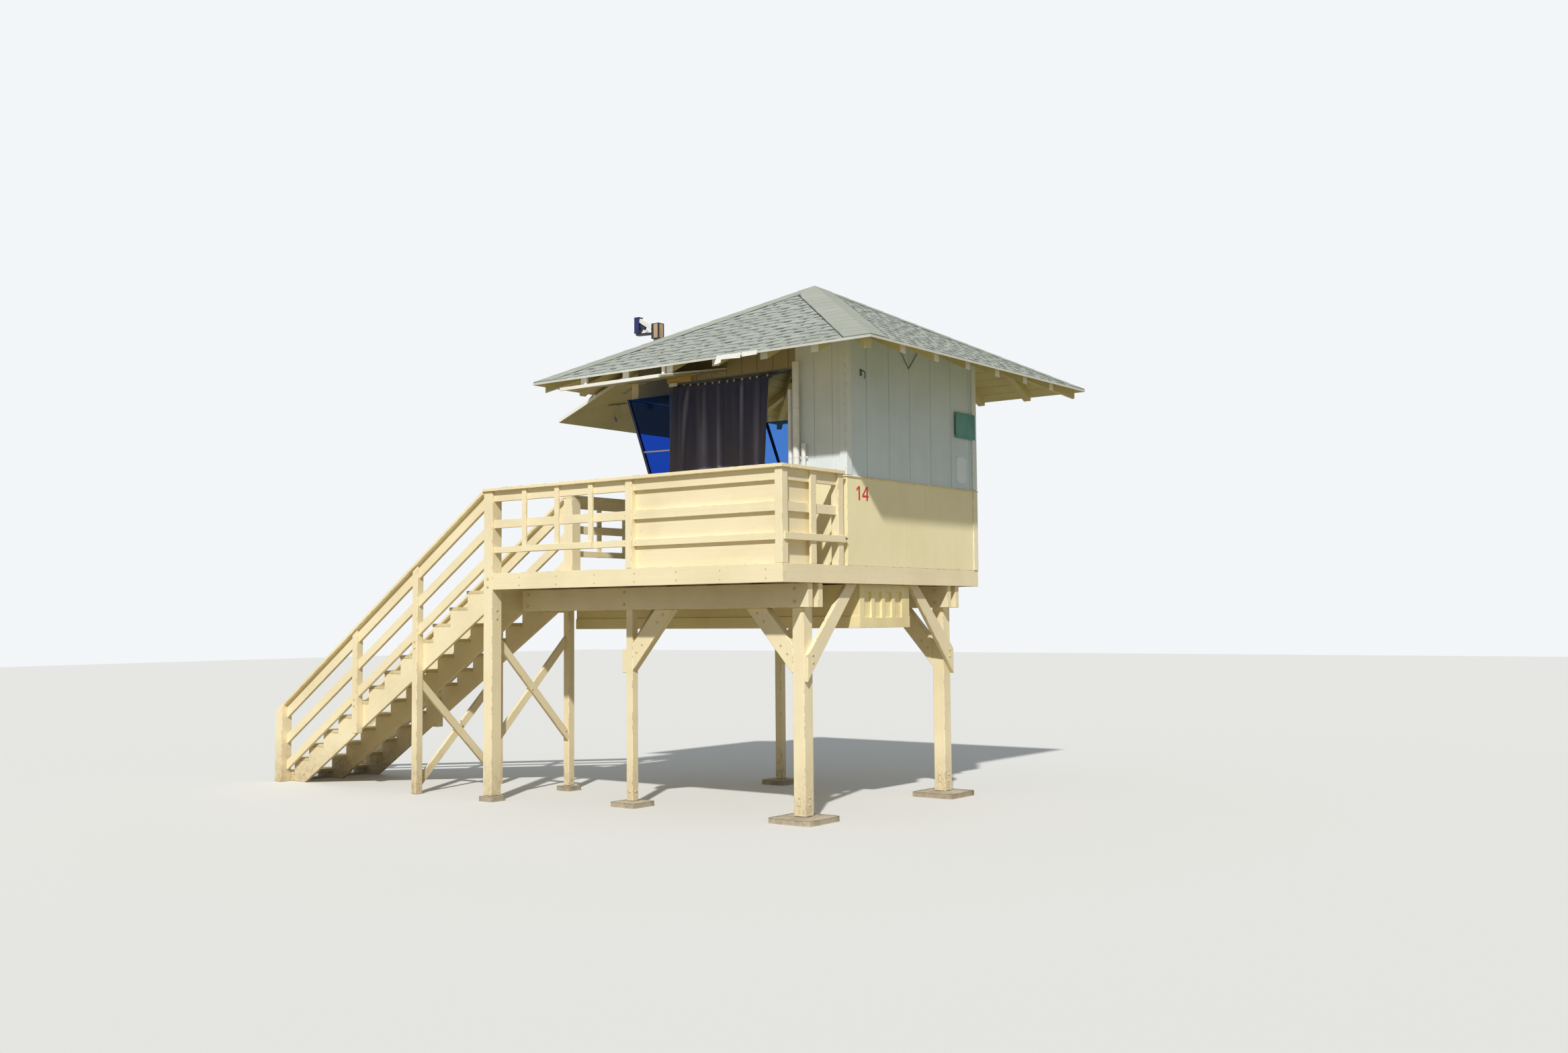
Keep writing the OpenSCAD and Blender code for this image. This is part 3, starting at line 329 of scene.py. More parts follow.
def make_materials():
    cream, grime = (248, 234, 196), (196, 170, 118)
    rows = (
        # colour, grime, roughness, chips, dirt, height of the splashes, wood under the paint
        (paint, "cream_paint", cream, grime, 0.55, 0.7, 0.3),
        (paint, "cream_trim", (249, 239, 208), grime, 0.5, 0.3, 0.15),
        (paint, "cream_legs", cream, grime, 0.6, 0.8, 0.35, 0.55),
        # a darker cream for the soffit, rafters and roof boards: painted shade under the eaves
        (paint, "cream_soffit", (212, 202, 150), (150, 136, 88), 0.65, 0.4, 0.45),
        (paint, "cream_locker", (248, 232, 180), (170, 142, 92), 0.65, 0.8, 0.5),
        (paint, "cream_siding", (253, 242, 198), (214, 194, 140), 0.6, 0.25, 0.3),
        (paint, "white_siding", (236, 243, 245), (184, 196, 192), 0.6, 0.2, 0.35),
        # a bluish grey white for the right wall: painted skylit shade
        (paint, "cool_siding", (220, 235, 244), (174, 192, 196), 0.6, 0.2, 0.35),
        # a dark brown cream for the lintel: painted shade under the eave
        (paint, "lintel_siding", (170, 156, 118), (112, 96, 62), 0.65, 0.4, 0.5),
        (paint, "white_paint", (240, 240, 234), (190, 184, 160), 0.5, 0.5, 0.25),
        (paint, "flap_white", (244, 242, 234), (190, 180, 150), 0.5, 0.6, 0.3),
        (paint, "flap_top", (226, 212, 164), (160, 140, 92), 0.6, 0.9, 0.6),
        # darker copies of the flaps' paints for their undersides: painted shade
        (paint, "flap_tan", (168, 156, 112), (116, 100, 62), 0.6, 0.6, 0.5),
        (paint, "flap_cream", (190, 179, 116), (136, 120, 72), 0.6, 0.7, 0.6),
        (paint, "deck_paint", (206, 196, 166), (150, 136, 106), 0.7, 1.0, 0.6, 0.0, (140, 122, 96)),
        (paint, "tread_paint", (222, 208, 166), (160, 138, 98), 0.7, 1.0, 0.6, 0.0, (146, 122, 90)),
        # light and dark wood, roughness
        (timber, "raw_timber", (166, 144, 108), (122, 100, 70)),
        (timber, "amber_wood", (214, 182, 142), (172, 134, 92), 0.55),
        (timber, "block_wood", (216, 182, 108), (184, 148, 80)),
        (mineral, "shingle", (176, 181, 172), (158, 163, 155)),
        (mineral, "cap_shingle", (170, 173, 162), (160, 163, 152)),
        # the dark band under the butts: printed on such shingles, and painted shade
        (mineral, "shingle_band", (98, 103, 99), (80, 85, 82)),
        (mineral, "roof_felt", (70, 72, 70), (52, 54, 52)),
        # colour, roughness, rust, metallic
        (metal, "drip_metal", (208, 209, 200), 0.45, 0.15, 0.0),
        (metal, "dark_rod", (70, 66, 60), 0.5, 0.3, 0.2),
        (metal, "galvanised", (150, 148, 140), 0.5, 0.8, 0.9),
        (metal, "painted_bolt", (226, 210, 160), 0.55, 0.55, 0.0),
        (metal, "grey_iron", (104, 106, 100), 0.55, 0.4, 0.3),
        (metal, "white_metal", (236, 236, 230), 0.4, 0.2, 0.0),
        (metal, "dark_frame", (44, 48, 56), 0.5, 0.15, 0.1),
        (metal, "pane_frame", (36, 56, 108), 0.45, 0.15, 0.1),
        (metal, "blue_panel", (28, 38, 96), 0.35, 0.1, 0.1),
        # colour, roughness, dirt
        (plastic, "white_tube", (240, 240, 236), 0.35, 0.25),
        (plastic, "ring_plastic", (240, 240, 240), 0.3, 0.1),
        (plastic, "green_plate", (44, 130, 116), 0.45, 0.35),
        (plastic, "white_notice", (226, 237, 246), 0.4, 0.1),
        (plastic, "red_paint", (206, 54, 40), 0.5, 0.25),
        (cloth, "curtain_cloth", (40, 47, 86), (96, 88, 88)),
        (glass, "tinted_glass"), (concrete, "concrete"))
    for kind, *row in rows:
        kind(*(rgb(*v) if isinstance(v, tuple) else v for v in row))


# ---- mesh helpers
def layers(bm):
    """what the materials read: board coordinates, a tone for each board and its worn edges; the tone also holds
    the curtain's painted highlights, the edges the shingle butts' painted shade
    """
    for kind, name in ((bm.verts.layers.float_vector, "board"), (bm.verts.layers.float, "tone"),
                       (bm.faces.layers.float, "edge")):
        if kind.get(name) is None:
            kind.new(name)


def start():
    bm = bmesh.new()
    layers(bm)
    return bm


def solid(bm, low, top):
    """closed solid between two loops of the same length"""
    a, b = [bm.verts.new(p) for p in low], [bm.verts.new(p) for p in top]
    n = len(a)
    bm.faces.new(a[::-1])
    bm.faces.new(b)
    return [bm.faces.new((a[i], a[(i + 1) % n], b[(i + 1) % n], b[i])) for i in range(n)]


def box(bm, x0, x1, y0, y1, z0, z1):
    q = ((x0, y0), (x1, y0), (x1, y1), (x0, y1))
    solid(bm, [P(x, y, z0) for x, y in q], [P(x, y, z1) for x, y in q])


def slab(bm, loop, by):
    """closed solid between a loop and the same loop moved"""
    solid(bm, [p + Vector(by) for p in loop], loop)


def bar(bm, p, q, w, h):
    """bar of w by h between two points"""
    d = (q - p).normalized()
    s = d.cross(Vector(UP)).normalized() * w / 2
    u = s.cross(d).normalized() * h / 2
    solid(bm, *([c - s - u, c + s - u, c + s + u, c - s + u] for c in (p, q)))


def lathe(bm, p, axis, prof, n=12, closed=False):
    """turns a profile of radius and height round the axis from p"""
    axis = Vector(axis).normalized()
    s = axis.orthogonal().normalized()
    t = axis.cross(s)
    rings = [[bm.verts.new(p + axis * h + (s * cos(a) + t * sin(a)) * r)
              for a in (2 * pi * i / n for i in range(n if r else 1))] for r, h in prof]
    for a, b in zip(rings, rings[1:] + rings[:1] * closed):
        for i in range(n):
            j = (i + 1) % n
            bm.faces.new((a[0], b[i], b[j]) if len(a) == 1 else
                         (a[i], a[j], b[0]) if len(b) == 1 else (a[i], a[j], b[j], b[i]))


def rod(bm, p, q, r, n=10):
    l, c = (q - p).length, min(r * 0.3, 0.004)
    lathe(bm, p, q - p, [(0, 0), (r - c, 0), (r, c), (r, l - c), (r - c, l), (0, l)], n)


def torus(bm, p, axis, r, t):
    turns = (pi * j / 3 for j in range(6))
    lathe(bm, p, axis, [(r + t * cos(b), t * sin(b)) for b in turns], 16, closed=True)


def bolt(bm, p, axis, k=1.0):
    """washer and domed head"""
    prof = ((0, 0), (0.021, 0), (0.021, 0.003), (0.0135, 0.003), (0.013, 0.007), (0.008, 0.0105), (0, 0.012))
    lathe(bm, p, axis, [(r * k, h * k) for r, h in prof], 8)


def nail(bm, x, y, z):
    lathe(bm, P(x, y, z - 0.0005), UP, [(0, 0), (0.0042, 0), (0.003, 0.0012), (0, 0.0014)], 6)


def islands(bm):
    seen = set()
    for v in bm.verts:
        if v in seen:
            continue
        group, todo = [], [v]
        seen.add(v)
        while todo:
            a = todo.pop()
            group.append(a)
            for e in a.link_edges:
                w = e.other_vert(a)
                if w not in seen:
                    seen.add(w)
                    todo.append(w)
        yield group


def grain(bm, along=None):
    """board coordinates, x along the length of each timber, and one tone for each"""
    board, tone = bm.verts.layers.float_vector["board"], bm.verts.layers.float["tone"]
    for group in islands(bm):
        n = max((f for v in group for f in v.link_faces), key=lambda f: f.calc_area()).normal.copy()
        if along is None:
            e = max((e for v in group for e in v.link_edges), key=lambda e: e.calc_length())
            x = (e.verts[1].co - e.verts[0].co).normalized()
        else:
            x = Vector(along)
        n -= x * n.dot(x)
        n = n.normalized() if n.length > 1e-4 else x.orthogonal().normalized()
        y = n.cross(x)
        off = Vector([uniform(0, 30) for _ in range(3)])
        t = uniform(-1, 1)
        for v in group:
            v[board] = Vector((v.co.dot(x), v.co.dot(y), v.co.dot(n))) + off
            v[tone] = t


def ease(bm, w):
    """bevels the sharp edges and marks them as worn"""
    edge = bm.faces.layers.float["edge"]
    e = [e for e in bm.edges if len(e.link_faces) == 2 and e.is_convex and e.calc_face_angle(0) > 0.5]
    r = bmesh.ops.bevel(bm, geom=e, offset=w, offset_type="OFFSET", segments=1, profile=0.5,
                        affect="EDGES", clamp_overlap=True)
    for f in r["faces"]:
        f[edge] = 1.0


def piece(name, bm, mat, slot, *nodes, soft=0.0, along=None, smooth=False, grained=True):
    """one piece of the tower, its edges eased by soft, its boards running along"""
    bmesh.ops.recalc_face_normals(bm, faces=bm.faces)
    if soft:
        ease(bm, soft)
    if grained:
        grain(bm, along)
    if smooth:
        for f in bm.faces:
            f.smooth = True
        for e in bm.edges:
            e.smooth = e.calc_face_angle(0) < 0.7
    ob = add_mesh(name, bm)
    ob.data.materials.append(M[mat])
    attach(ob, "root")
    if nodes:
        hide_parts(*nodes)
    return ob


def copied(node, keep=None):
    """a CAD node's mesh with its flat faces whole again, or only the solids to keep"""
    bm = bmesh.new()
    bm.from_mesh(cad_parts[node].data)
    layers(bm)
    bmesh.ops.remove_doubles(bm, verts=bm.verts, dist=1e-5)
    bmesh.ops.dissolve_limit(bm, angle_limit=0.01, verts=bm.verts, edges=bm.edges)
    if keep:
        gone = [v for g in islands(bm) if not keep(g) for v in g]
        bmesh.ops.delete(bm, geom=gone, context="VERTS")
    return bm


def cut(bm, cutter):
    """the first mesh less the second"""
    for b in (bm, cutter):
        bmesh.ops.recalc_face_normals(b, faces=b.faces)
    obs = [add_mesh("cut", b) for b in (bm, cutter)]
    mod = obs[0].modifiers.new("cut", "BOOLEAN")
    mod.operation, mod.solver, mod.object = "DIFFERENCE", "EXACT", obs[1]
    result = obs[0].evaluated_get(bpy.context.evaluated_depsgraph_get())
    out = bmesh.new()
    out.from_mesh(bpy.data.meshes.new_from_object(result))
    layers(out)
    for o in obs:
        bpy.data.objects.remove(o)
    return out


def bisect(bm, at, away):
    """cuts off what lies beyond the plane and closes the cut"""
    geom = bm.verts[:] + bm.edges[:] + bm.faces[:]
    made = bmesh.ops.bisect_plane(bm, geom=geom, dist=1e-6, plane_co=at, plane_no=away, clear_outer=True)
    bmesh.ops.contextual_create(bm, geom=[g for g in made["geom_cut"] if isinstance(g, bmesh.types.BMEdge)])
    bmesh.ops.recalc_face_normals(bm, faces=bm.faces[:])


# ---- frame, deck and stair
def timbers():
    """the CAD shapes with eased edges"""
    for mat, rows in (
            ("cream_legs", (("main_legs", 5), ("floor_beams", 4), ("cross_braces", 3))),
            ("raw_timber", (("joists", 3),)),
            ("cream_paint", (("rim_boards", 3), ("stair_ledger", 3), ("rail_posts", 4))),
            ("cream_legs", (("stair_newels", 5),)),
            ("cream_paint", (("guard_rails", 3), ("rail_panel", 2), ("balusters", 3), ("rail_caps", 5))),
            ("cream_legs", (("stair_stringers", 3), ("stair_posts", 5))),
            ("cream_paint", (("stair_rails", 3), ("stair_caps", 5), ("wall_ledge", 2))),
            # rafters in the darker soffit cream, painted shade
            ("cream_soffit", (("rafters", 3), ("hip_rafters", 3))),
            ("white_paint", (("shutter_props", 3),))):
        slot = mat if mat in ("raw_timber", "white_paint") else "cream_paint"
        for node, mm in rows:
            piece(node + "_wood", copied(node), mat, slot, node, soft=mm / 1000)


def footings():
    """cast pads with rounded corners, sloped shoulders and an uneven top"""
    bm = start()
    for x, y, w in ((LEG_X, 0.57, 0.52), (LEG_X, 3.15, 0.52), (POST_X, 0.57, 0.34), (POST_X, 3.15, 0.34),
                    (-4.066, 0.07, 0.21), (-4.091, 1.265, 0.21)):
        one = bmesh.new()
        bmesh.ops.create_cube(one, size=1.0)
        bmesh.ops.subdivide_edges(one, edges=one.edges, cuts=7, use_grid_fill=True)
        for v in one.verts:
            a, b, c = v.co * 2
            z, side = 0, 1.0
            if c > -0.9:
                side -= 0.012 + 0.01 * sin(17 * a + 5 * b + x) * cos(11 * b - a)
                z = 0.03 + c * 0.0295
            if c > 0.9:
                z -= 0.01 * max(0, max(abs(a), abs(b)) - 0.7) / 0.3 + 0.003
                z += 0.0035 * sin(31 * (x + a * w) + 3) * cos(27 * (y + b * w))
            side *= w / 2 / max(1.0, (abs(a) ** 14 + abs(b) ** 14) ** (1 / 14))
            v.co = P(x + a * side, y + b * side, max(0, z))
        pad = add_mesh("pad", one)
        bm.from_mesh(pad.data)
        bpy.data.objects.remove(pad)
    piece("pads", bm, "concrete", "concrete", "footings", smooth=True)


def deck():
    bm, nails = start(), start()
    n, gap = 25, 0.005
    w = (3.602 - BOARD - (n - 1) * gap) / n
    for i in range(n):
        y = BOARD + i * (w + gap)
        left = -4.098 if y > 0.14 else -3.994
        # two lengths to a board, their butt joint over a joist
        butt = LEG_X - JOIST_STEP * (3 if i % 2 else 5)
        for a, b in ((left, butt - 0.001), (butt + 0.001, -BOARD)):
            box(bm, a, b, y, y + w, DECK - BOARD, DECK - uniform(0, 0.0012))
        for x in (LEG_X - JOIST_STEP * j for j in range(7)):
            for s in (0.028, w - 0.028):
                if not (-2.61 < x < 0 and y > 1.0) or y + s > 1.2:
                    nail(nails, x, y + s, DECK)
    piece("deck_boards", bm, "deck_paint", "deck_paint", "deck_floor", soft=0.003)
    piece("deck_nails", nails, "galvanised", "dark_frame")
    bm, nails = start(), start()
    for k in range(1, 14):
        x1, z = STAIR_X - (k - 1) * RUN, DECK - k * RISER
        x0 = x1 - 0.31
        mid = (x0 + x1) / 2
        for a, b in ((x0, mid - 0.003), (mid + 0.003, x1 - 0.001)):
            box(bm, a, b, 0.0903, 1.2197, z - BOARD, z)
            for y in (0.109, 0.655, 1.201):
                for x in (a + 0.035, b - 0.035):
                    nail(nails, x, y, z)
    piece("tread_boards", bm, "tread_paint", "deck_paint", "stair_treads", soft=0.005)
    piece("tread_nails", nails, "galvanised", "dark_frame")


def braces():
    """the CAD braces, but those of the right row lap over the outer faces of their legs"""
    bm = copied("knee_braces", lambda g: min(v.co.x for v in g) <= MX - 0.24)
    for q in (((0.5, 1.345), (1.355, 2.3), (1.165, 2.3), (0.5, 1.6)),
              ((3.22, 1.34), (3.22, 1.62), (2.51, 2.3), (2.335, 2.3))):
        # the hidden top runs on behind the rim to the packing on the joist
        head = [v for v in q if v[1] > 2.2]
        for ring in (q, [(y, 2.42) for y, z in head] + head[::-1]):
            solid(bm, *([P(x, y, z) for y, z in ring] for x in (-0.1297, -0.085)))
    piece("knee_braces_wood", bm, "cream_legs", "cream_paint", "knee_braces", soft=0.005)
    bm = start()
    for y0, y1 in ((1.17, 1.35), (2.34, 2.505)):
        box(bm, -0.1808, -0.13, y0, y1, 2.305, 2.415)
    piece("brace_packing", bm, "raw_timber", "raw_timber", soft=0.002)


def locker():
    """long box under the deck, its vented end flush with the braces, two boards to a side"""
    x0, x1, y0, y1, z0, z1 = -4.098, -0.085, 1.396, 2.322, 1.856, 2.2995
    bm = start()
    box(bm, x0, x1 - 0.0225, y0, y1, z0 + 0.004, z1)
    for a, b in ((y0 - 0.012, y0 - 0.0004), (y1 + 0.0004, y1 + 0.012)):
        box(bm, x0, x1 - 0.002, a, b, z0, 1.975)
    piece("locker_boards", bm, "cream_locker", "cream_paint", "under_locker", soft=0.002)
    front, slots = start(), start()
    box(front, x1 - 0.022, x1, y0, y1, z0, z1)
    for i in range(4):
        y = 1.478 + 0.19 * i
        box(slots, x1 - 0.04, x1 + 0.02, y, y + 0.129, 1.962, 2.228)
    piece("locker_vents", cut(front, slots), "cream_locker", "cream_paint", soft=0.002, along=UP)


def bolts():
    bm, joists = start(), [LEG_X - JOIST_STEP * i for i in range(7)]
    near, far = ([y + d for y in LEG_ROWS] for d in (-0.121, 0.121))
    # the way they face, size, and places along x, y and z
    for axis, k, xs, ys, zs in (
            # beams to legs, and the feet of the right braces
            (NEAR, 1.0, (LEG_X, POST_X), near, (2.12, 2.245)),
            (FAR, 1.0, (LEG_X, POST_X), far, (2.12, 2.245)),
            (NEAR, 1.0, (-3.9,), near, (2.245,)),
            (FAR, 1.0, (-3.9,), far, (2.245,)),
            (NEAR, 1.0, (-3.908,), near, (2.118,)),
            (RIGHT, 0.9, (-0.085,), (0.585, 3.135), (1.607, 1.533)),
            # rail post at the stair, rim to joists, ledger, and rail boards
            (NEAR, 1.0, (-4.066,), (0,), (2.335, 2.425)),
            (RIGHT, 0.8, (-3.996,), (0.07,), (1.985, 2.075)),
            (NEAR, 0.55, joists, (0,), (2.345, 2.43)),
            (FAR, 0.55, joists, (3.64,), (2.345, 2.43)),
            (LEFT, 0.9, (STAIR_X,), (0.2, 0.48, 0.83, 1.11), (2.15, 2.36)),
            (NEAR, 0.35, (-2.04, -1.89), (0.026,), (3.324, 3.02, 2.736))):
        for x in xs:
            for y in ys:
                for z in zs:
                    bolt(bm, P(x, y, z), axis, k)
    for row in LEG_ROWS:
        # braces along the beams
        for foot, y, s in ((-0.33, row - 0.07, -1), (-2.34, row - 0.045, 1)):
            for d, z in ((0, 1.62), (0.08, 1.7), (0.29, 1.93), (0.37, 2.01)):
                bolt(bm, P(foot + s * d, y, z), NEAR, 0.8)
        # legs over their pads
        for x, w, z in ((LEG_X, 0.07, 0.17), (LEG_X, 0.07, 0.24), (POST_X, 0.045, 0.16)):
            bolt(bm, P(x + w, row, z), RIGHT, 0.8)
            bolt(bm, P(x, row - w, z), NEAR, 0.8)
    # stair posts to stringers
    for x, low, y in ((-5.302, 1.66, 1.31), (-6.402, 0.97, 1.31), (-7.83, 0.14, 1.36)):
        for z in (low, low + 0.075):
            bolt(bm, P(x, y, z), FAR, 0.9)
            if y < 1.36:
                bolt(bm, P(x, 0, z), NEAR, 0.9)
    # crossed braces
    for x, y, z in ((-4.053, 0.18, 1.76), (-4.053, 1.18, 0.69), (-4.053, 0.655, 1.19),
                    (-5.264, 0.13, 1.36), (-5.264, 1.18, 0.25), (-5.264, 0.655, 0.79)):
        bolt(bm, P(x, y, z), RIGHT, 0.7)
    piece("bolts", bm, "painted_bolt", "cream_paint", smooth=True)


# ---- hut
def walls():
    def sawn(name, node, mat, grooves, low=SILL + 0.002):
        c = start()
        for x0, x1, y0, y1 in grooves:
            box(c, x0, x1, y0, y1, low, 5.05)
        piece(name, cut(copied(node), c), mat, "white_siding", node, along=UP)

    def across(xs, y0, y1):
        return [(x - 0.005, x + 0.005, y0, y1) for x in xs]

    # the right wall's bluish grey is painted skylit shade
    sawn("right_siding", "right_wall_upper", "cool_siding",
         [(-0.021, -0.004, y - 0.005, y + 0.005) for y in (1.456, 1.869, 2.266, 2.687, 3.112, 3.502)])
    near = WALL_Y - 0.01, WALL_Y + 0.007
    sawn("pier_siding", "near_wall_upper", "white_siding", across((-0.402, -0.18), *near))
    lintel = (-2.18, -1.969, -1.757, -1.552, -1.346, -1.14, -0.93, -0.73)
    # the lintel's dark paint is painted shade
    sawn("lintel_siding", "lintel", "lintel_siding", across(lintel, *near), HEAD - 0.01)
    sawn("far_siding", "far_wall_upper", "white_siding",
         across([-2.25 + 0.4064 * i for i in range(6)], WALL_FAR - 0.007, WALL_FAR + 0.01))
    # a groove near the foot of the headers
    c = start()
    for x0, x1, y0, y1 in ((HEAD_X - 0.02, -2.332, WALL_Y - 0.006, WALL_Y + 0.006),
                           (HEAD_X - 0.02, -2.332, WALL_FAR - 0.006, WALL_FAR + 0.006),
                           (HEAD_X - 0.006, HEAD_X + 0.006, 1.0, 3.7)):
        box(c, x0, x1, y0, y1, 4.526, 4.534)
    piece("header_boards", cut(copied("window_headers"), c), "cream_paint", "cream_paint", "window_headers")
    for node in ("right_wall", "near_wall", "far_wall", "sea_wall"):
        piece(node + "_sheet", copied(node), "cream_siding", "cream_siding", node, soft=0.002, along=UP)
    # corner boards of the lower walls, and the door jambs
    bm = start()
    box(bm, 0, 0.01, 3.545, 3.636, DECK + 0.002, SILL - 0.002)
    box(bm, -0.09, -0.0005, 3.6402, 3.65, DECK + 0.002, SILL - 0.002)
    for x in (-0.64, -1.48):
        box(bm, x, x + 0.02, 1.059, 1.1705, DECK, SILL)
    piece("corner_boards", bm, "cream_trim", "cream_paint", soft=0.002, along=UP)
    bm = start()
    box(bm, -0.63, -0.105, WALL_Y - 0.001, 1.1715, SILL, SILL + 0.02)
    box(bm, -2.33, -1.46, 1.06, 1.19, SILL, SILL + 0.024)
    piece("sill_boards", bm, "cream_paint", "cream_paint", soft=0.003)
    # trims in two paints: white corner boards, and a bare block over the side pane
    block = lambda g: max(v.co.x for v in g) < MX - 1.9
    piece("corner_trims", copied("wall_trims", lambda g: not block(g)), "white_siding", "white_paint",
          "wall_trims", soft=0.002)
    bm = copied("wall_trims", block)
    for v in bm.verts:
        v.co.z += 0.028
    piece("rod_block", bm, "block_wood", "raw_timber", soft=0.003)


def windows():
    piece("pane_frames", copied("window_frames"), "pane_frame", "dark_frame", "window_frames", soft=0.003)
    piece("panes", copied("window_panes"), "tinted_glass", "tinted_glass", "window_panes")
    # bars start at the panes' leaning edge
    bm = start()
    x = -2.58 - (3.812 - SILL) * 0.39 / (PANE - SILL)
    for y in (WALL_Y + 0.008, WALL_FAR - 0.008):
        bar(bm, P(x, y, 3.812), P(-2.364, y, 3.806), 0.012, 0.016)
    piece("pane_bars", bm, "white_paint", "white_paint", soft=0.001)


def shutters():
    """each flap in two layers, weathered above and darker below as painted shade, the near one with a white
    outer board
    """
    down = Vector((FLAP_K, 0, -1)).normalized()
    under = lambda x, y, d=0: P(x, y, 4.66 + (x + 3.0) * FLAP_K) + down * d
    edge, mid, sea = P(0, 0.022, 0), P(0, WALL_Y, 4.61), under(-3.5, 2.0, -0.018)
    for name, node, mat, slot, cuts in (
            # the under layers take the darker paints, painted shade
            ("near_flap", "near_shutter", "flap_tan", "white_paint", ((edge, NEAR), (mid, (0, -NEAR_K, 1)))),
            ("near_flap_top", "near_shutter", "flap_white", "white_paint",
             ((edge, NEAR), (mid, (0, NEAR_K, -1)))),
            ("near_flap_edge", "near_shutter", "flap_white", "white_paint", ((edge, FAR),)),
            ("sea_flap", "sea_shutter", "flap_cream", "cream_paint", ((sea, (-FLAP_K, 0, 1)),)),
            ("sea_flap_top", "sea_shutter", "flap_top", "cream_paint", ((sea, (FLAP_K, 0, -1)),))):
        bm = copied(node)
        for at, away in cuts:
            bisect(bm, at, away)
        piece(name, bm, mat, slot, node, soft=0.003)
    bm = start()
    for y in (1.067, 3.644):
        bar(bm, P(-4.055, y, 4.2705), P(-3.02, y, 4.6705), 0.008, 0.036)
    piece("flap_edges", bm, "white_paint", "white_paint", soft=0.001)
    # hinges, and the folded stay with its knob
    bm = start()
    for y in (1.35, 2.36, 3.36):
        bar(bm, under(-3.3, y, 0.002), under(-3.02, y, 0.002), 0.045, 0.004)
        rod(bm, under(-3.012, y - 0.06, 0.006), under(-3.012, y + 0.06, 0.006), 0.008)
    for x in (-2.75, -2.25, -1.75):
        bar(bm, *(P(x, y, 4.59 - (WALL_Y - y) * NEAR_K) for y in (1.06, 0.8)), 0.045, 0.004)
        rod(bm, P(x - 0.06, 1.078, 4.583), P(x + 0.06, 1.078, 4.583), 0.008)
    bar(bm, under(-3.568, 1.375, 0.003), under(-3.473, 1.579, 0.003), 0.03, 0.005)
    rod(bm, under(-3.515, 1.49, 0.012), under(-3.79, 1.745, 0.012), 0.007)
    lathe(bm, under(-3.8, 1.74), down, [(0, 0), (0.022, 0), (0.022, 0.006), (0.01, 0.008), (0.01, 0.03),
                                         (0.016, 0.034), (0.016, 0.044), (0, 0.05)])
    piece("hinges", bm, "galvanised", "dark_frame", smooth=True)


# ---- roof
def halves(i):
    """plan distance from the eave of slope i to the apex, and half the length of the eave"""
    return (HY, HX) if i % 2 else (HX, HY)


def slope_pt(i, s, t, d):
    """point on slope i at plan distance s from the eave, t along it, depth d under the roof surface"""
    x, y = ((RX1 - s, RCY + t), (RCX - t, RY1 - s), (RX0 + s, RCY - t), (RCX + t, RY0 + s))[i]
    return P(x, y, EAVE + s * RISE / halves(i)[0] - d)


def strip(bm, i, s0, s1, top, low, t0=-9, t1=9, edge=0, butt=0):
    """slab on slope i from s0 to s1, cut at the hips less edge; top and low are its depths at either end,
    and butt darkens its lower end as painted shade"""
    h, l = halves(i)
    q = []
    for s, t in ((s0, t0), (s0, t1), (s1, t1), (s1, t0)):
        m = l * (1 - s / h) - edge
        q.append((s, max(-m, min(m, t))))
    if abs(q[1][1] - q[0][1]) < 0.004 and abs(q[2][1] - q[3][1]) < 0.004:
        return
    # corners that meet are held apart
    for a, b in ((2, 3), (1, 0)):
        if abs(q[a][1] - q[b][1]) < 0.002:
            q[a] = (q[a][0], q[b][1] + 0.002)
    sides = solid(bm, *([slope_pt(i, s, t, d[s == s1]) for s, t in q] for d in (low, top)))
    if butt:
        sides[0][bm.faces.layers.float["edge"]] = butt


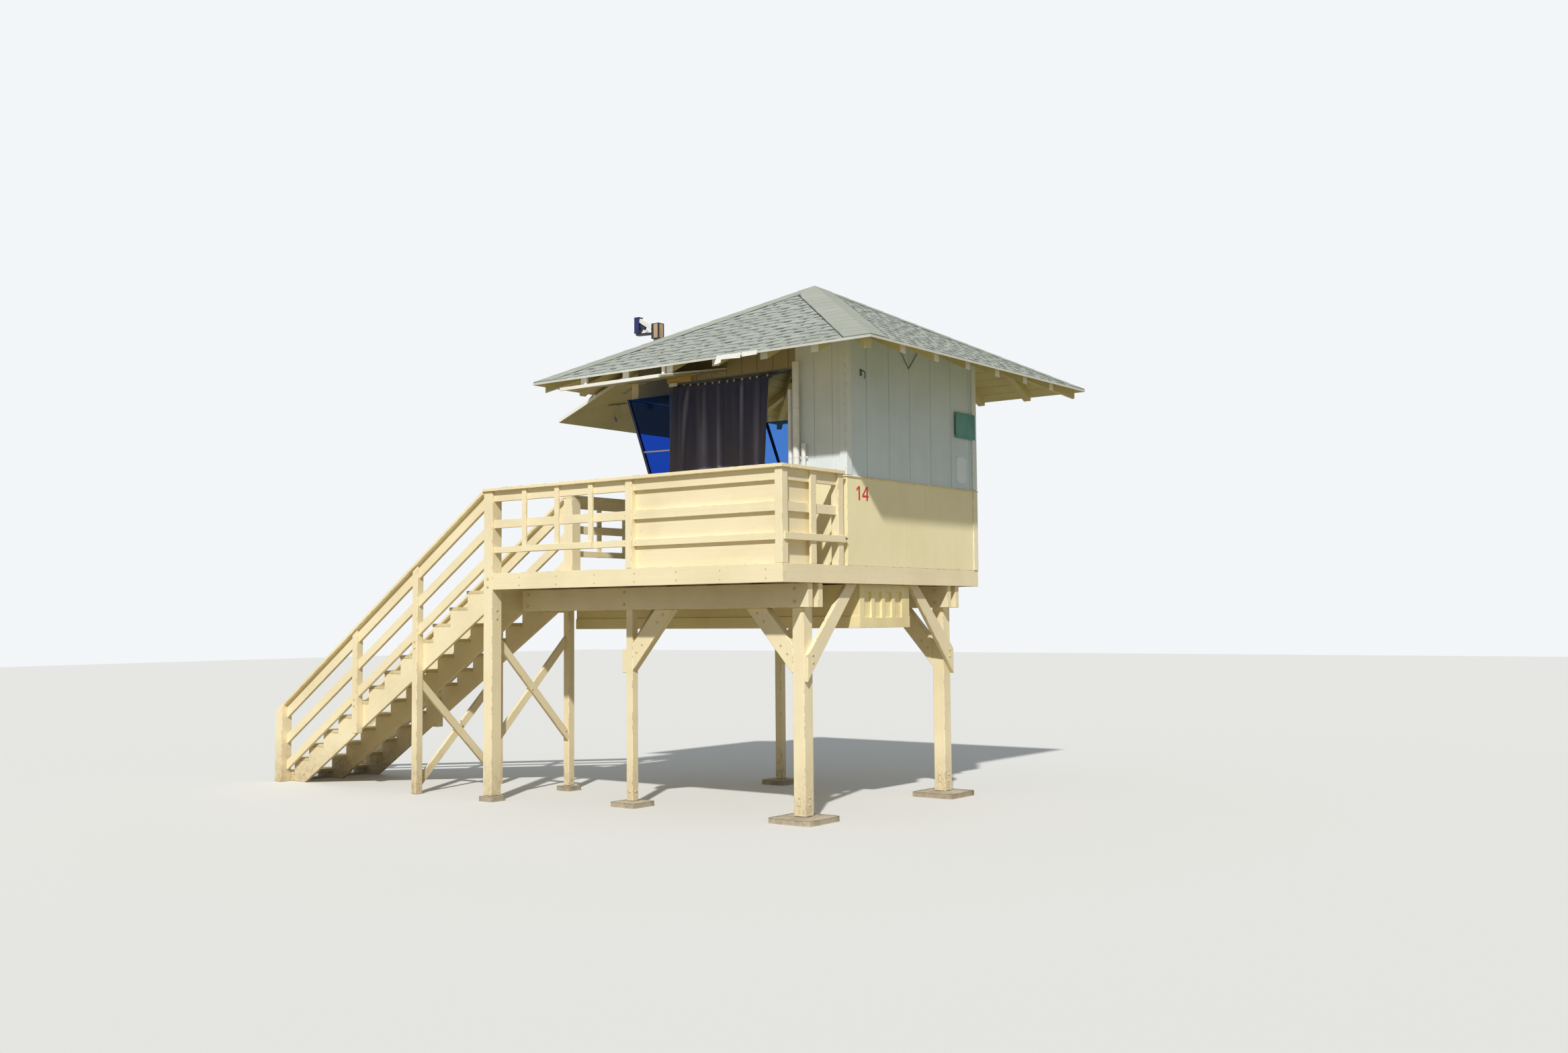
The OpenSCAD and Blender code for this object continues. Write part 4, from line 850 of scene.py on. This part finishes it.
def roof():
    # soffit boards laid along the eaves, and felt over them
    bm, felt, n = start(), start(), 17
    for i in range(4):
        h = halves(i)[0]
        for j in range(n):
            a, b = h * j / n + (0 if j else 0.003), h * (j + 1) / n - 0.004
            strip(bm, i, a, b, (0.0162, 0.0162), (0.0355, 0.0355), edge=0.001)
        strip(felt, i, 0.004, h - 0.01, (0.013, 0.013), (0.016, 0.016), edge=0.001)
    # roof boards in the darker soffit cream, painted shade
    piece("roof_boards", bm, "cream_soffit", "cream_paint", "roof_sheathing", soft=0.003)
    piece("roof_felt", felt, "roof_felt", "shingle", along=UP)
    # courses of tabs with laminated teeth, their butts darkened as painted shade, and a dark band under the
    # butts of the next course, printed on such shingles and also painted shade
    bm, band, courses = start(), start(), 20
    for i in range(4):
        h, l = halves(i)
        for c in range(courses):
            s0, s1 = c * h / courses, (c + 1) * h / courses
            m = l * (1 - s0 / h)
            t = -m - uniform(0, 0.5)
            while t < m:
                w = uniform(0.28, 0.5)
                strip(bm, i, max(s0, 0.002), s1 + 0.004, (0.0095, 0.0123), (0.0126, 0.0133),
                      t, t + w - 0.002, 0.002, 0.6)
                t += w
            if c < courses - 1:
                strip(band, i, s1 - 0.034, s1 + 0.003, (0.0108, 0.0116), (0.0125, 0.0128), edge=0.006)
            t = -m - uniform(0, 0.3)
            while t < m:
                w = uniform(0.07, 0.24)
                drop = uniform(-0.004, 0.006)
                strip(bm, i, max(s0 + drop, 0.001), s1 - 0.01, (0.004, 0.0094), (0.0102, 0.012),
                      t, t + w, 0.004, 1.0)
                t += w + uniform(0.03, 0.13)
    piece("shingles", bm, "shingle", "shingle", "roof_shingles")
    piece("shingle_bands", band, "shingle_band", "shingle")
    # wide caps over the hips, lapped up to the apex, with a wing down each slope
    bm, n, peak = start(), 16, P(RCX, RCY, EAVE + RISE)
    hips = [(sx, sy, Vector((sx * HX, sy * HY, -RISE))) for sx in (-1, 1) for sy in (-1, 1)]
    for sx, sy, a in hips:
        for j in range(n):
            w = 0.3 + uniform(-0.004, 0.004)
            rows = []
            for f, lift in ((min(1 - j / n, 0.9985), 0.0006), (max(0.988 - (j + 1) / n, 0), 0.004)):
                c = peak + a * f - Vector((0, 0, lift))
                wing = Vector((sx * min(w, HX * f), 0, 0)), Vector((0, sy * min(w, HY * f), 0))
                rows.append([c - wing[0], c, c - wing[1]])
            for u in (0, 1):
                quad = rows[0][u:u + 2] + rows[1][u:u + 2][::-1]
                if (quad[3] - quad[2]).length < 0.01:
                    quad = quad[:3]
                slab(bm, quad, (0, 0, -0.0045))
    piece("hip_caps", bm, "cap_shingle", "shingle")
    # painted shadow beside the caps, a dark strip from where the two caps of a slope part down to the eave
    bm, n, w = start(), 24, 0.296
    for sx, sy, a in hips:
        for side, h in ((Vector((-sx, 0, 0)), HX), (Vector((0, -sy, 0)), HY)):
            for j in range(n):
                f0, f1 = (w / h + (0.998 - w / h) * k / n for k in (j, j + 1))
                quad = [peak + a * f + side * (w + d) for f, d in ((f0, 0), (f1, 0), (f1, 0.02), (f0, 0.02))]
                slab(bm, [v - Vector((0, 0, 0.0036)) for v in quad], (0, 0, -0.0016))
    piece("cap_edge_shadows", bm, "roof_felt", "shingle")
    bm, thick = start(), 0.0028
    for i in range(4):
        l = halves(i)[1]
        q = ((0, -l), (0, l), (thick, l - thick), (thick, thick - l))
        solid(bm, *([slope_pt(i, s, t, d) for s, t in q] for d in (0.0358, 0.0135)))
        strip(bm, i, 0, 0.045, (0.0128, 0.0128), (0.0134, 0.0134))
    piece("drip_edge", bm, "drip_metal", "white_paint")
    # lengths of drip edge that came loose, and a bent tab: places, heights and ways out
    bm = start()
    quads = [((x0, 4.556, 0.0022), (x1, 4.556, 0.0022), (x1, z1, 0.01), (x0, z0, 0.012)) for x0, x1, z0, z1 in
             ((-0.915, -0.765, 4.512, 4.508), (-0.765, -0.61, 4.508, 4.5), (-0.592, -0.405, 4.508, 4.512))]
    quads.append(((-0.924, 4.516, 0.01), (-0.852, 4.514, 0.01), (-0.842, 4.476, 0.03),
                  (-0.922, 4.462, 0.034)))
    for quad in quads:
        slab(bm, [P(x, RY0 - out, z) for x, z, out in quad], (0, 0.0016, 0))
    piece("loose_drip", bm, "white_metal", "white_paint")
    # pale paint on the ends of the rafter tails, painted light against the darker soffit
    bm, rafters, ends = start(), copied("rafters"), set()
    for f in rafters.faces:
        for k, lo, hi in ((0, 0.11, 4.365), (1, -2.01, 2.2)):
            span = [round(fn(v.co[a] for v in f.verts), 4) for a in (k, 1 - k, 2) for fn in (min, max)]
            if abs(f.normal[k]) > 0.9 and not lo < span[0] < hi:
                ends.add((k, *span[1:]))
    for k, at, a0, a1, z0, z1 in sorted(ends):
        cap = (at, at + 0.0016) if at > 1 else (at - 0.0016, at)
        x, y = ((a0 + 0.001, a1 - 0.001), cap) if k else (cap, (a0 + 0.001, a1 - 0.001))
        box(bm, x[0] - MX, x[1] - MX, y[0] - MY, y[1] - MY, z0 + 0.001, z1 - 0.001)
    piece("tail_ends_painted_light", bm, "white_paint", "cream_paint")


def lamp():
    """blue panel on a slanted bracket and a wooden box, on a short pole"""
    x, y = -2.85, 1.39
    foot = EAVE + (x - RX0) * RISE / HX
    z = foot + 0.318
    pole, blue, rim, case = (start() for _ in range(4))
    arm = lambda bm, xa, za, xb, zb, w, h: bar(bm, P(xa, y, z + za), P(xb, y, z + zb), w, h)
    plate = lambda bm, xa, xb, w, za, zb: box(bm, xa, xb, y - w, y + w, z + za, z + zb)
    lathe(pole, P(x, y, foot - 0.004), UP, [(0, 0), (0.05, 0), (0.05, 0.006), (0.022, 0.012), (0.016, 0.03),
                                            (0.016, 0.325), (0, 0.326)], 16)
    arm(pole, -3.066, 0.148, -2.88, 0.034, 0.046, 0.044)
    arm(pole, -3.03, -0.006, -2.965, 0.012, 0.04, 0.03)
    piece("lamp_pole", pole, "white_metal", "dark_frame", "roof_lamp", smooth=True)
    plate(blue, -3.134, -3.064, 0.035, 0.003, 0.183)
    piece("lamp_panel", blue, "blue_panel", "dark_frame")
    arm(rim, -3.115, -0.014, -2.862, -0.026, 0.06, 0.022)
    arm(rim, -3.062, 0.082, -2.99, 0.05, 0.03, 0.05)
    for z0 in (0.002, 0.176):
        plate(rim, -3.137, -3.061, 0.038, z0, z0 + 0.008)
    for x0, w in ((-2.8605, 0.034), (-2.7665, 0.016)):
        for y0 in (y - 0.048, y + 0.032):
            box(rim, x0, x0 + w, y0, y0 + 0.016, z - 0.0925, z + 0.0805)
    plate(rim, -2.8605, -2.8575, 0.04, -0.086, 0.074)
    for z0 in (-0.093, 0.0745):
        plate(rim, -2.8595, -2.7515, 0.047, z0, z0 + 0.006)
    piece("lamp_rims", rim, "dark_frame", "dark_frame", soft=0.001)
    plate(case, -2.8575, -2.7535, 0.045, -0.09, 0.078)
    piece("lamp_case", case, "amber_wood", "dark_frame", soft=0.004)


# ---- curtain, tubes and fittings
def droop(x):
    """how far the thin rod sags under the cloth"""
    return 0.026 * (1 - ((x + 1.485) / 0.845) ** 2)


def curtain():
    """nearly flat cloth threaded on rings, slack between them, with a few uneven folds"""
    x0, x1, ztop, zlow, yc = -2.3257, -1.004, 4.524, 3.392, 1.1085
    nx, nz, rings, drop = 260, 56, 13, ztop - zlow
    at = [(k + 0.5 + uniform(-0.1, 0.1)) / rings for k in range(rings)]
    at[0], at[-1] = 0.012, 0.988
    # each fold: place, half width, depth, how far down it is deepest, slant
    folds = [((a + b) / 2 + uniform(-0.01, 0.01), uniform(0.012, 0.02),
              uniform(0.004, 0.009), uniform(0.05, 0.25), uniform(-0.02, 0.02))
             for a, b in zip(at, at[1:])]
    folds += [(0.07, 0.03, 0.006, 0.5, 0), (0.165, 0.017, -0.019, 0.2, -0.06),
              (0.25, 0.026, 0.01, 0.5, -0.02), (0.325, 0.05, -0.013, 0.55, 0),
              (0.41, 0.03, 0.009, 0.6, 0.02), (0.485, 0.02, -0.015, 0.7, 0.01),
              (0.6, 0.075, 0.01, 0.5, 0), (0.735, 0.016, -0.018, 0.15, -0.02),
              (0.8, 0.03, 0.008, 0.6, 0), (0.89, 0.034, -0.012, 0.75, 0.02)]

    def fold(u, v):
        """depth of the cloth at u across and v down"""
        d = 0.004 * sin(5.1 * u + 2.0 * v) * v
        for c, w, h, deep, slant in folds:
            g = (u - c - slant * v) / w
            if abs(g) < 3:
                reach = 0.3 + 0.7 * exp(-((v - deep) / 0.34) ** 2)
                d += h * exp(-g * g) * reach * min(1.0, 0.1 + 9 * v)
        return d

    def swing(u, v):
        """the left side hangs out in front of the jamb"""
        t = min(1.0, max(0, (0.24 - u) / 0.17))
        return 0.036 * t * t * (3 - 2 * t) * min(1.0, 5 * v)

    def aside(u, v):
        """the sides hang a little to the left, and the right one is drawn in"""
        t, r = max(0, (0.3 - u) / 0.3), max(0, (u - 0.6) / 0.4)
        return 0.042 * t * t * max(0, (v - 0.22) / 0.78) + 0.075 * r * r * v

    def slack(u):
        """1 midway between two rings"""
        return next((4 * (u - a) * (b - u) / (b - a) ** 2 for a, b in zip(at, at[1:]) if a <= u <= b), 0)

    bm, grid, run = start(), [], 0
    board, tone = bm.verts.layers.float_vector["board"], bm.verts.layers.float["tone"]
    for i in range(nx + 1):
        u, col = i / nx, []
        for v in (j / nz for j in range(nz + 1)):
            x = x0 + (x1 - x0) * u - aside(u, v)
            z = ztop - drop * v - droop(x) * (1 - v) - 0.017 * slack(u) * max(0, 1 - 7 * v)
            z += (0.004 * sin(9 * u + 2) + 0.003 * sin(31 * u)) * v
            col.append(bm.verts.new(P(x, yc + fold(u, v) - swing(u, v), max(z, zlow))))
        if grid:
            run += (col[nz // 2].co - grid[-1][nz // 2].co).length
        grid.append(col)
        for j, vert in enumerate(col):
            vert[board] = Vector((run, 0, ztop - drop * j / nz))
            # the tone holds a painted highlight where a fold comes forward
            vert[tone] = 0.3 - fold(u, j / nz) * 60
    for a, b in zip(grid, grid[1:]):
        for j in range(nz):
            bm.faces.new((a[j], b[j], b[j + 1], a[j + 1]))
    ob = piece("curtain_cloth", bm, "curtain_cloth", "curtain_cloth", "curtain", smooth=True, grained=False)
    thick = ob.modifiers.new("thick", "SOLIDIFY")
    thick.thickness, thick.offset = 0.0016, 0
    # rings round the rod, and the eyelets they run through
    bm = start()
    for u in at:
        x = x0 + (x1 - x0) * u
        torus(bm, P(x, ROD_Y - 0.0015, 4.5105 - droop(x)), RIGHT, 0.0185, 0.0028)
        torus(bm, P(x, yc + fold(u, 0.012), 4.5105 - droop(x)), FAR, 0.0095, 0.0026)
    rng = piece("curtain_rings", bm, "ring_plastic", "white_paint", smooth=True)


def fittings():
    bm, n = start(), 16
    line = [P(x, ROD_Y, ROD_Z - droop(x)) for x in (ROD_X0 + (ROD_X1 - ROD_X0) * k / n for k in range(n + 1))]
    for a, b in zip(line, line[1:]):
        rod(bm, a, b, 0.01, 20)
    flange = [(0, 0), (0.026, 0), (0.026, 0.005), (0.015, 0.008), (0.015, 0.022), (0.0105, 0.022)]
    for x, s in ((-2.329, RIGHT), (-0.641, LEFT)):
        lathe(bm, P(x, ROD_Y, ROD_Z), s, flange, 20)
    piece("curtain_pole", bm, "dark_rod", "white_paint", "curtain_rod", smooth=True)
    bm = start()
    box(bm, -2.325, -2.205, 1.0305, 1.0466, 4.49, 4.53)
    piece("pole_end", bm, "white_paint", "white_paint", soft=0.004)
    bm, clip = start(), start()
    for x, r, h in ((-0.592, 0.036, 2.094), (-0.509, 0.023, 1.254), (-0.675, 0.023, 1.82)):
        y, hug, hold = 1.0587 - r, r + 0.0002, r + 0.0022
        lathe(bm, P(x, y, DECK), UP, [(0, 0), (r - 0.002, 0), (r, 0.003), (r, 0.1), (r, h - 0.05),
                                      (r, h - 0.004), (r - 0.005, h), (r - 0.005, h - 0.06), (0, h - 0.06)], 28)
        for z in (SILL - 0.25, SILL + 0.22, SILL + 0.72):
            if z < DECK + h - 0.1:
                lathe(clip, P(x, y, z), UP, [(hug, 0), (hold, 0), (hold, 0.014), (hug, 0.014)], 24)
                box(clip, x - r - 0.014, x + r + 0.014, y + r - 0.003, y + r, z, z + 0.014)
    piece("tubes", bm, "white_tube", "white_tube", "wall_tubes", smooth=True)
    piece("tube_clips", clip, "white_metal", "white_tube", smooth=True)
    # bare plates on the right wall, the green one rimmed and on two battens
    bm = start()
    box(bm, 0.0065, 0.0095, 3.18, 3.6, 3.952, 4.236)
    for rim in ((3.18, 3.6, 3.952, 3.966), (3.18, 3.6, 4.222, 4.236),
                (3.18, 3.194, 3.966, 4.222), (3.586, 3.6, 3.966, 4.222)):
        box(bm, 0.0097, 0.0112, *rim)
    for y in (3.2, 3.5):
        box(bm, -0.0139, 0.0063, y, y + 0.03, 3.99, 4.2)
    piece("green_plate", bm, "green_plate", "dark_frame", soft=0.001)
    bm = start()
    box(bm, -0.0139, -0.0105, 3.22, 3.43, 3.452, 3.738)
    box(bm, -0.0104, -0.0094, 3.24, 3.41, 3.472, 3.718)
    piece("white_notice", bm, "white_notice", "white_paint", soft=0.001)
    bm = start()
    for x, ys, zs in ((0.0112, (3.205, 3.575), (3.976, 4.212)), (-0.0105, (3.228, 3.422), (3.46, 3.73))):
        for z in zs:
            for y in ys:
                bolt(bm, P(x, y, z), RIGHT, 0.28)
    # hooks on the right wall and on the side post
    box(bm, -0.0139, -0.01, 1.335, 1.375, 4.41, 4.48)
    line = [P(*p) for p in ((-0.011, 1.355, 4.465), (0.02, 1.355, 4.46), (0.04, 1.355, 4.43),
                            (0.036, 1.358, 4.395), (0.02, 1.362, 4.38))]
    for a, b in zip(line, line[1:]):
        rod(bm, a, b, 0.006)
    lathe(bm, P(0.02, 1.018, 2.742), RIGHT, [(0, 0), (0.012, 0), (0.012, 0.004), (0.005, 0.006), (0.005, 0.014),
                                             (0.008, 0.016), (0, 0.018)], 10)
    # stays in a V from the wall up to the soffit
    for y in (1.853, 2.583):
        rod(bm, P(-0.012, 2.256, 4.597), P(0.02, y, 4.984), 0.0045, 8)
    piece("wall_fittings", bm, "grey_iron", "dark_frame", smooth=True)
    # plain number, 144 mm high, from its lower left corner
    bm, y0, z0 = start(), 1.225, 3.139
    for a, b, c, d in ((0.044, 0.07, 0, 0.144), (0.184, 0.21, 0, 0.144),
                       (0.112, 0.183, 0.034, 0.056), (0.211, 0.225, 0.034, 0.056)):
        box(bm, 0, 0.0012, y0 + a, y0 + b, z0 + c, z0 + d)
    for loop in (((0.044, 0.144), (0.01, 0.116), (0.01, 0.09), (0.044, 0.116)),
                 ((0.112, 0.057), (0.138, 0.057), (0.183, 0.114), (0.183, 0.144))):
        solid(bm, *([P(x, y0 + a, z0 + c) for a, c in loop] for x in (0, 0.0012)))
    piece("red_number", bm, "red_paint", "white_paint")
    bm = start()
    box(bm, -2.56, -2.4905, 0.54, 0.6, 1.398, 1.648)
    piece("leg_block", bm, "cream_legs", "cream_paint", soft=0.004)


make_materials()
make_camera()
make_light()
make_floor()
for make in (timbers, footings, deck, braces, locker, bolts, walls, windows, shutters, roof, lamp,
             fittings, curtain):
    make()
